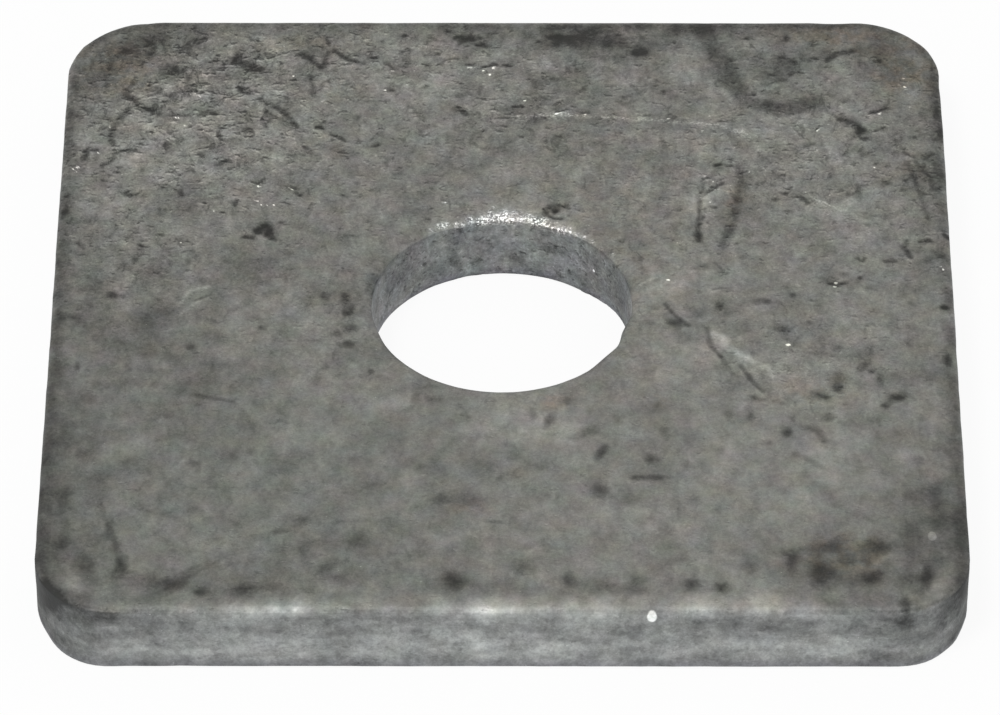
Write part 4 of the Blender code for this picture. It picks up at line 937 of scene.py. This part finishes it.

# Marks in the hole and on the front corners: place, level, half sizes and darkness (less than nothing: pale;
# the pale marks in the hole are painted highlights)
WALL_MARKS = [(x, FRONT_WALL, *mark) for x, *mark in FRONT_MARKS]
WALL_MARKS += (
    (-4.2, 10.0, 2.2, 1.2, 1.0, 0.6), (-2.2, 10.6, 1.7, 0.9, 0.6, 1.0), (1.3, 10.8, 2.0, 1.1, 0.8, 0.95),
    (3.9, 10.2, 3.6, 1.0, 0.7, 1.1), (4.8, 9.7, 3.6, 0.9, 0.5, 1.0), (5.6, 9.3, 1.4, 0.6, 0.7, 0.6),
    (6.8, 8.5, 1.2, 0.7, 0.7, 0.4), (-9.7, 4.9, 1.9, 1.0, 1.6, 0.6), (-9.3, 5.5, 3.9, 1.0, 1.6, 0.35),
    (-10.4, 3.2, 1.6, 0.6, 1.3, 0.6), (-0.2, 10.9, 0.8, 1.8, 1.2, -0.3), (2.3, 10.6, 0.4, 2.2, 0.6, 0.2),
    (-3.4, 10.4, 3.2, 1.6, 1.4, -0.2), (-8.4, 7.0, 3.2, 2.6, 2.0, 0.3), (-6.2, 8.9, 1.6, 2.0, 0.8, 0.3),
    (-10.7, 2.0, 2.5, 1.6, 3.0, 0.5), (-4.0, 10.1, 1.0, 1.2, 1.0, 0.3), (-1.5, 10.8, 2.6, 3.0, 1.8, -0.22),
    (2.5, 10.6, 2.8, 2.2, 1.8, -0.25), (4.5, 9.9, 4.6, 1.6, 1.2, -0.2), (7.5, 7.9, 4.2, 2.6, 1.8, 0.35),
    (8.4, 6.9, 1.8, 2.2, 1.6, 0.25), (9.6, 5.0, 3.0, 2.8, 3.2, 0.4), (10.5, 2.8, 2.6, 3.0, 3.4, 0.65),
    (-37.2, -34.0, 4.8, 2.5, 2.0, 0.5), (-36.0, -35.3, 5.5, 1.4, 1.3, 0.35),
    (-36.3, -34.9, 5.2, 1.4, 1.3, 1.2), (-37.1, -33.5, 2.9, 1.3, 1.6, 0.65),
    (-31.8, -37.4, 5.6, 2.2, 1.0, 0.4), (34.5, -37.0, 2.6, 2.0, 1.4, 0.2),
    (-9.3, 5.8, 3.2, 1.6, 1.5, 0.45), (-1.8, 10.7, 1.4, 1.4, 1, -0.3), (6.6, 8.6, 1.6, 1.6, 1.3, 0.42),
    (9.0, 5.9, 4.2, 1.3, 1.3, 0.25), (9.7, 4.6, 2.0, 1.4, 1.6, 0.4), (6.1, 8.9, 5.0, 1.4, 0.9, -0.2),
)
for x, y, z, across, high, darkness in WALL_MARKS:
    for place, index, _ in wall_tree.find_range((x * MM, y * MM, z * MM), max(across, high) * MM):
        aside = math.hypot(place.x / MM - x, place.y / MM - y) / across
        inside = bump_at(min(1, math.hypot(aside, (place.z / MM - z) / high)))
        wall_verts[index][mask["tone"]] -= WALL_MARK_DEPTH * darkness * inside

# Nothing stands out of the flat faces and walls of the plate
for vert in washer.verts:
    for axis in range(3):
        vert.co[axis] = max(plate_low[axis], min(plate_high[axis], vert.co[axis]))

washer_mesh = bpy.data.meshes.new("galvanised_plate")
washer.to_mesh(washer_mesh)
washer.free()
washer_mesh.shade_smooth()
galvanised_plate = bpy.data.objects.new("galvanised_plate", washer_mesh)
bpy.context.scene.collection.objects.link(galvanised_plate)


class Wiring:
    """Adds shader nodes to one node tree and joins them up."""

    def __init__(self, tree):
        self.tree = tree

    def add(self, kind, links=None, **settings):
        node = self.tree.nodes.new(kind)
        for key, value in settings.items():
            setattr(node, key, value)
        for socket, value in (links or {}).items():
            self.connect(value, node.inputs[socket])
        return node

    def connect(self, value, socket):
        if isinstance(value, bpy.types.NodeSocket):
            self.tree.links.new(value, socket)
        else:
            socket.default_value = value

    def math(self, operation, first, second=0.0):
        return self.add("ShaderNodeMath", {0: first, 1: second}, operation=operation).outputs[0]

    def between(self, value, low, high):
        """0 below the low value, 1 above the high one, smooth in between."""
        links = {"Value": value, "From Min": low, "From Max": high}
        return self.add("ShaderNodeMapRange", links, interpolation_type="SMOOTHSTEP").outputs["Result"]

    def noise(self, where, size, detail=2.0, roughness=0.5, distortion=0.0, output="Fac"):
        links = {"Vector": where, "Scale": 1 / size, "Detail": detail}
        links.update({"Roughness": roughness, "Distortion": distortion})
        return self.add("ShaderNodeTexNoise", links).outputs[output]

    def mask(self, name):
        return self.add("ShaderNodeAttribute", attribute_name=name).outputs["Fac"]

    def blend(self, factor, first, second):
        return self.add("ShaderNodeMix", {0: factor, 6: first, 7: second}, data_type="RGBA").outputs[2]

    def vector(self, operation, first, second):
        return self.add("ShaderNodeVectorMath", {0: first, 1: second}, operation=operation).outputs[0]

    def share(self, term):
        return self.math("MULTIPLY", *term) if isinstance(term, tuple) else term

    def total(self, first, *others):
        """Adds up values, each given alone or as a pair of a value and its share."""
        result = self.share(first)
        for term in others:
            result = self.math("ADD", result, self.share(term))
        return result


def galvanised_zinc():
    """Weathered hot-dip zinc: mottled grey, pitted, stained and rubbed at the rims, with painted highlights,
    glints and shade.
    """
    material = bpy.data.materials.new("galvanised_zinc")
    material.use_nodes = True
    wire = Wiring(material.node_tree)
    shader = material.node_tree.nodes["Principled BSDF"]
    where = wire.add("ShaderNodeTexCoord").outputs["Object"]
    rough = wire.mask("rough")
    upright = wire.math("ADD", wire.mask("wall"), wire.mask("bore"))
    wear_and_sheen = wire.mask("rub")

    # Mottling, from patches down to grains: size in millimetres, detail, and how strong
    # it is on smooth zinc and on top of that on rough zinc
    layers = []
    drawn_out = wire.vector("MULTIPLY", where, (1, 0.68, 1))
    for place, size, detail, plain, crowded in (
        (where, 9, 1, 0.15, 0.0),
        (where, 3.6, 2, 0.32, 0.1),
        (drawn_out, 1.8, 2, 0.27, 0.16),
        (drawn_out, 0.8, 2, 0.27, 0.28),
        (where, 0.36, 2, 0.22, 0.3),
        (where, 0.17, 1, 0.2, 0.2),
    ):
        layer = wire.math("SUBTRACT", wire.noise(place, size * MM, detail, 0.55, 0.5), 0.5)
        layers.append((layer, wire.total(plain, (rough, crowded))))
    lightness = wire.total(1.0, wire.mask("tone"), *layers)

    # Soft level streaks on the sheared walls
    levelled = wire.vector("MULTIPLY", where, (0.3, 0.3, 1))
    streaks = wire.math("SUBTRACT", wire.noise(levelled, 1.1 * MM, 2), 0.5)
    lightness = wire.total(lightness, (wire.math("MULTIPLY", streaks, wire.mask("wall")), 0.4))

    # Stains, dark blots and pores, a painted highlight on the front lip of each pore, and short pale flecks
    # where the zinc is rough
    ragged = wire.noise(where, 0.9 * MM, 4, 0.7, 0.6)
    soiled = wire.math("MULTIPLY", wire.mask("soil"), wire.total(0.35, (ragged, 1.3)))
    soil = wire.between(soiled, 0.2, 1.0)
    blots = wire.between(wire.total(wire.noise(drawn_out, 1.3 * MM, 3, 0.65, 0.8), (rough, 0.05)), 0.6, 0.72)
    flattened = wire.vector("MULTIPLY", where, (0.5, 1.2, 1))
    pale_flecks = wire.between(wire.noise(flattened, 0.4 * MM, 2, 0.6), 0.58, 0.74)

    def pores_at(spot):
        """Fine pores in the zinc, closer where it is rough."""
        speckle = wire.total(wire.noise(spot, 0.42 * MM, 2, 0.5, 0.4), (rough, 0.06))
        return wire.between(speckle, 0.64, 0.74)

    level_pits = wire.vector("MULTIPLY", where, (0.6, 1.1, 1))
    pores = pores_at(level_pits)
    pore_lip_highlights = wire.math("SUBTRACT", pores_at(wire.vector("ADD", level_pits, (0, 0.26 * MM, 0))), pores)
    lightness = wire.total(
        lightness,
        (rough, 0.04),
        (soil, -0.27),
        (wire.math("MULTIPLY", blots, rough), -0.26),
        (wire.math("MULTIPLY", pores, wire.total(0.1, (rough, 0.9))), -0.28),
        (wire.math("MULTIPLY", wire.math("MAXIMUM", pore_lip_highlights, 0.0), rough), 0.16),
        (wire.math("MULTIPLY", pale_flecks, rough), 0.16),
    )

    # Creases in the zinc skin, in some places, and where it is rough
    in_places = wire.between(wire.noise(where, 2.1 * MM, 1), 0.54, 0.6)
    creased = wire.math("MULTIPLY", in_places, wire.between(rough, 0.35, 0.9))

    def creases(spot):
        """Thin wandering lines where the zinc skin is wrinkled."""
        level = wire.math("ABSOLUTE", wire.math("SUBTRACT", wire.noise(spot, 1.5 * MM, 3, 0.6, 0.5), 0.5))
        return wire.math("MULTIPLY", wire.math("SUBTRACT", 1.0, wire.between(level, 0.0, 0.022)), creased)

    ridge = creases(where)
    # Just behind each ridge a furrow is sunk into the relief and painted dark as its shade
    shaded_furrow = creases(wire.vector("ADD", where, (0, -0.16 * MM, 0)))
    crumbs = wire.noise(where, 0.3 * MM, 2, 0.6)
    ragged_pit = wire.math("MULTIPLY", wire.mask("pit"), wire.total(0.6, (crumbs, 0.7)))
    dark = wire.math("MAXIMUM", ragged_pit, wire.math("MULTIPLY", shaded_furrow, 0.1))
    lightness = wire.total(lightness, (dark, -0.5))

    # Painted highlights: sparkling specks, glints along the scratches, painted glints, a sheen on the rubbed
    # rims and sparkle on the lip's crumbs
    sparkle = wire.noise(where, 0.22 * MM, 1, 0.5)
    sparkling = wire.total(sparkle, (wire.mask("bright"), 0.22), (ridge, 0.12), (rough, 0.02))
    sparkle_highlight = wire.between(sparkling, 0.78, 0.86)
    streak_glints = wire.math("MULTIPLY", wire.mask("streak"), wire.between(sparkle, 0.42, 0.7))
    glint = wire.between(wire.total(wire.mask("glint"), (crumbs, 0.9)), 0.62, 1.15)
    ragged_sheen = wire.math("MULTIPLY", wear_and_sheen, wire.between(crumbs, 0.4, 0.7))
    lip_sparkle_grain = wire.between(wire.noise(where, 0.18 * MM, 2, 0.6), 0.42, 0.66)
    lip_highlight = wire.math("MINIMUM", wire.mask("crumbs"), 1.0)
    lightness = wire.math("MAXIMUM", lightness, 0.45)
    lightness = wire.total(lightness, (sparkle_highlight, 0.45), (streak_glints, 0.5), (wire.mask("streak"), 0.1))
    lightness = wire.total(lightness, (glint, 1.15), (wear_and_sheen, 0.16), (ragged_sheen, 0.2), (lip_highlight, -0.1))
    lightness = wire.total(lightness, (wire.math("MULTIPLY", lip_highlight, lip_sparkle_grain), 1.4))

    # Three painted highlights, bright round spots of glints as the camera sees them out of focus: on the
    # front wall, at the front right, and in the hole
    DOT_SHAPE = (1, 0.66, 0.73)
    level_spots = wire.vector("MULTIPLY", where, DOT_SHAPE)
    for place, radius, brightness in (
        ((11.95, -37.585, 5.58), 0.47, 0.64),
        ((34.6, -28.6, 6.12), 0.42, 0.27),
        ((7.65, 7.7, 3.14), 0.13, 1.2),
    ):
        links = {0: level_spots, 1: [part * share * MM for part, share in zip(place, DOT_SHAPE)]}
        apart = wire.add("ShaderNodeVectorMath", links, operation="DISTANCE").outputs["Value"]
        highlight_dot = wire.math("SUBTRACT", 1.0, wire.between(apart, 0.7 * radius * MM, radius * MM))
        lightness = wire.total(lightness, (highlight_dot, brightness))

    # Lightness was reckoned as the eye sees it, and colours are set as light
    lightness = wire.math("POWER", lightness, 2.2)

    # Greys of the face, the walls and the hole. The walls' grey is painted lighter, standing in for the light
    # they take from the white floor, and the hole's a little lighter to lift its shade. A cold painted shade
    # at the foot of the walls, and brown and greenish tints
    grey = wire.blend(wire.mask("wall"), (0.180, 0.179, 0.163, 1), (0.338, 0.349, 0.342, 1))
    grey = wire.blend(wire.mask("bore"), grey, (0.199, 0.207, 0.205, 1))
    # The painted highlights on the lip and the rubbed rims turn the grey neutral
    grey = wire.blend(wire.math("MINIMUM", wire.total(lip_highlight, wear_and_sheen), 1.0), grey, (0.182, 0.182, 0.178, 1))
    # Painted shade, with a cold tint, at the foot of the walls where they stand on the floor
    height = wire.add("ShaderNodeSeparateXYZ", {0: where}).outputs["Z"]
    near_floor = wire.math("SUBTRACT", 1.0, wire.between(height, 0.1 * MM, 1.3 * MM))
    foot_shade = wire.math("MULTIPLY", upright, near_floor)
    grey = wire.blend(wire.math("MULTIPLY", foot_shade, 0.5), grey, (0.13, 0.128, 0.158, 1))
    hazes = wire.noise(where, 1.6 * MM, 2, 0.6)
    brown_patch = wire.math("MULTIPLY", wire.mask("brown"), wire.between(hazes, 0.35, 0.65))
    grey = wire.blend(brown_patch, grey, (0.2, 0.17, 0.132, 1))
    greenish = wire.math("MULTIPLY", wire.mask("brown"), -1.0)
    grey = wire.blend(greenish, grey, (0.168, 0.182, 0.162, 1))
    hues = wire.noise(where, 2.2 * MM, 2, 0.5, 0.0, "Color")
    hues = wire.vector("MULTIPLY", wire.vector("SUBTRACT", hues, (0.5, 0.5, 0.5)), (0.22, 0.14, 0.22))
    hues = wire.blend(wire.math("MULTIPLY", wire.mask("wall"), 0.65), hues, (0, 0, 0, 1))
    grey = wire.vector("MULTIPLY", grey, wire.vector("ADD", hues, (1, 1, 1)))
    scaled = wire.add("ShaderNodeVectorMath", {0: grey}, operation="SCALE")
    wire.connect(lightness, scaled.inputs["Scale"])
    wire.connect(scaled.outputs[0], shader.inputs["Base Color"])

    roughness = wire.total(0.36, (hazes, 0.3), (wear_and_sheen, -0.15), (sparkle_highlight, -0.15), (dark, 0.2))
    roughness = wire.total(roughness, (wire.mask("wall"), 0.2))
    wire.connect(roughness, shader.inputs["Roughness"])
    shader.inputs["Metallic"].default_value = 0.75

    # Height of the fine relief in millimetres
    pebbles = wire.noise(where, 0.5 * MM, 3, 0.6)
    grains = wire.noise(where, 0.2 * MM, 1, 0.5)
    coarseness = wire.total(0.35, (rough, 0.8), (wear_and_sheen, 0.8))
    relief = wire.math("MULTIPLY", wire.total((pebbles, 0.09), (grains, 0.03)), coarseness)
    relief = wire.total(relief, (ridge, 0.015), (shaded_furrow, -0.015), (pores, -0.03))
    bump = wire.add("ShaderNodeBump", {"Strength": 1.0, "Distance": MM, "Height": relief})
    wire.connect(bump.outputs["Normal"], shader.inputs["Normal"])
    return material


washer_mesh.materials.append(galvanised_zinc())
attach(galvanised_plate, "root")
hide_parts("plate_washer")

# Floor
#
# A plain white sheet under the washer. It shows white to the camera and in the metal,
# and keeps a faint shadow where the washer stands on it.

FLOOR_HALF_SIDE = 1.5
FLOOR_GLOW = 0.92
floor_shape = bmesh.new()
bmesh.ops.create_grid(floor_shape, x_segments=1, y_segments=1, size=FLOOR_HALF_SIDE)
floor_mesh = bpy.data.meshes.new("floor")
floor_shape.to_mesh(floor_mesh)
floor_shape.free()
floor = bpy.data.objects.new("floor", floor_mesh)
bpy.context.scene.collection.objects.link(floor)


def shows_white(wire):
    """1 for what the camera, a reflection or a view through glass sees, 0 for light on surfaces."""
    path = wire.add("ShaderNodeLightPath").outputs
    seen = wire.math("MAXIMUM", path["Is Camera Ray"], path["Is Glossy Ray"])
    return wire.math("MAXIMUM", seen, path["Is Transmission Ray"])


def white_floor():
    material = bpy.data.materials.new("white_floor")
    material.use_nodes = True
    wire = Wiring(material.node_tree)
    shader = material.node_tree.nodes["Principled BSDF"]
    shader.inputs["Base Color"].default_value = (0.92, 0.92, 0.92, 1)
    shader.inputs["Roughness"].default_value = 0.9
    glow = wire.add("ShaderNodeEmission", {"Color": (1, 1, 1, 1), "Strength": 1.0})
    share = wire.math("MULTIPLY", shows_white(wire), FLOOR_GLOW)
    mix = wire.add("ShaderNodeMixShader", {0: share, 1: shader.outputs[0], 2: glow.outputs[0]})
    output = material.node_tree.nodes["Material Output"]
    material.node_tree.links.new(mix.outputs[0], output.inputs["Surface"])
    return material


floor_mesh.materials.append(white_floor())

# Light
#
# One soft box above the plate, a little to the left and the front, in a plain white room.

ROOM_LEVEL = 0.62
room = bpy.data.worlds.new("white_room")
room.use_nodes = True
room_wire = Wiring(room.node_tree)
backdrop = room.node_tree.nodes["Background"]
level = room_wire.math("ADD", ROOM_LEVEL, room_wire.math("MULTIPLY", shows_white(room_wire), 1 - ROOM_LEVEL))
backdrop.inputs["Color"].default_value = (1, 1, 1, 1)
room_wire.connect(level, backdrop.inputs["Strength"])
bpy.context.scene.world = room

SOFT_BOX_FROM = Vector((-0.28, -0.30, 0.91)).normalized()
SOFT_BOX_DISTANCE = 0.8
SOFT_BOX_SIDE = 0.22
SOFT_BOX_WATTS = 2.4
lamp = bpy.data.lights.new("soft_box", "AREA")
lamp.shape = "SQUARE"
lamp.size = SOFT_BOX_SIDE
lamp.energy = SOFT_BOX_WATTS
soft_box = bpy.data.objects.new("soft_box", lamp)
soft_box.location = SOFT_BOX_FROM * SOFT_BOX_DISTANCE
soft_box.rotation_euler = SOFT_BOX_FROM.to_track_quat("Z", "Y").to_euler()
bpy.context.scene.collection.objects.link(soft_box)

# Camera
#
# A long lens from the front, looking down on the plate at 41 degrees.

CAMERA_PLACE = Vector((1.474, -488.284, 428.446)) * MM
CAMERA_PITCH = math.radians(-41.257)
CAMERA_YAW = math.radians(0.2034)
CAMERA_ROLL = math.radians(-0.0865)
lens = bpy.data.cameras.new("camera")
lens.lens = 279.2
lens.sensor_width = 36
lens.clip_start = 0.01
camera = bpy.data.objects.new("camera", lens)
yaw = Matrix.Rotation(CAMERA_YAW, 4, "Z")
pitch = Matrix.Rotation(math.pi / 2 + CAMERA_PITCH, 4, "X")
roll = Matrix.Rotation(CAMERA_ROLL, 4, "Z")
camera.matrix_world = Matrix.Translation(CAMERA_PLACE) @ yaw @ pitch @ roll
bpy.context.scene.collection.objects.link(camera)
bpy.context.scene.camera = camera
bpy.context.scene.view_settings.view_transform = "Standard"
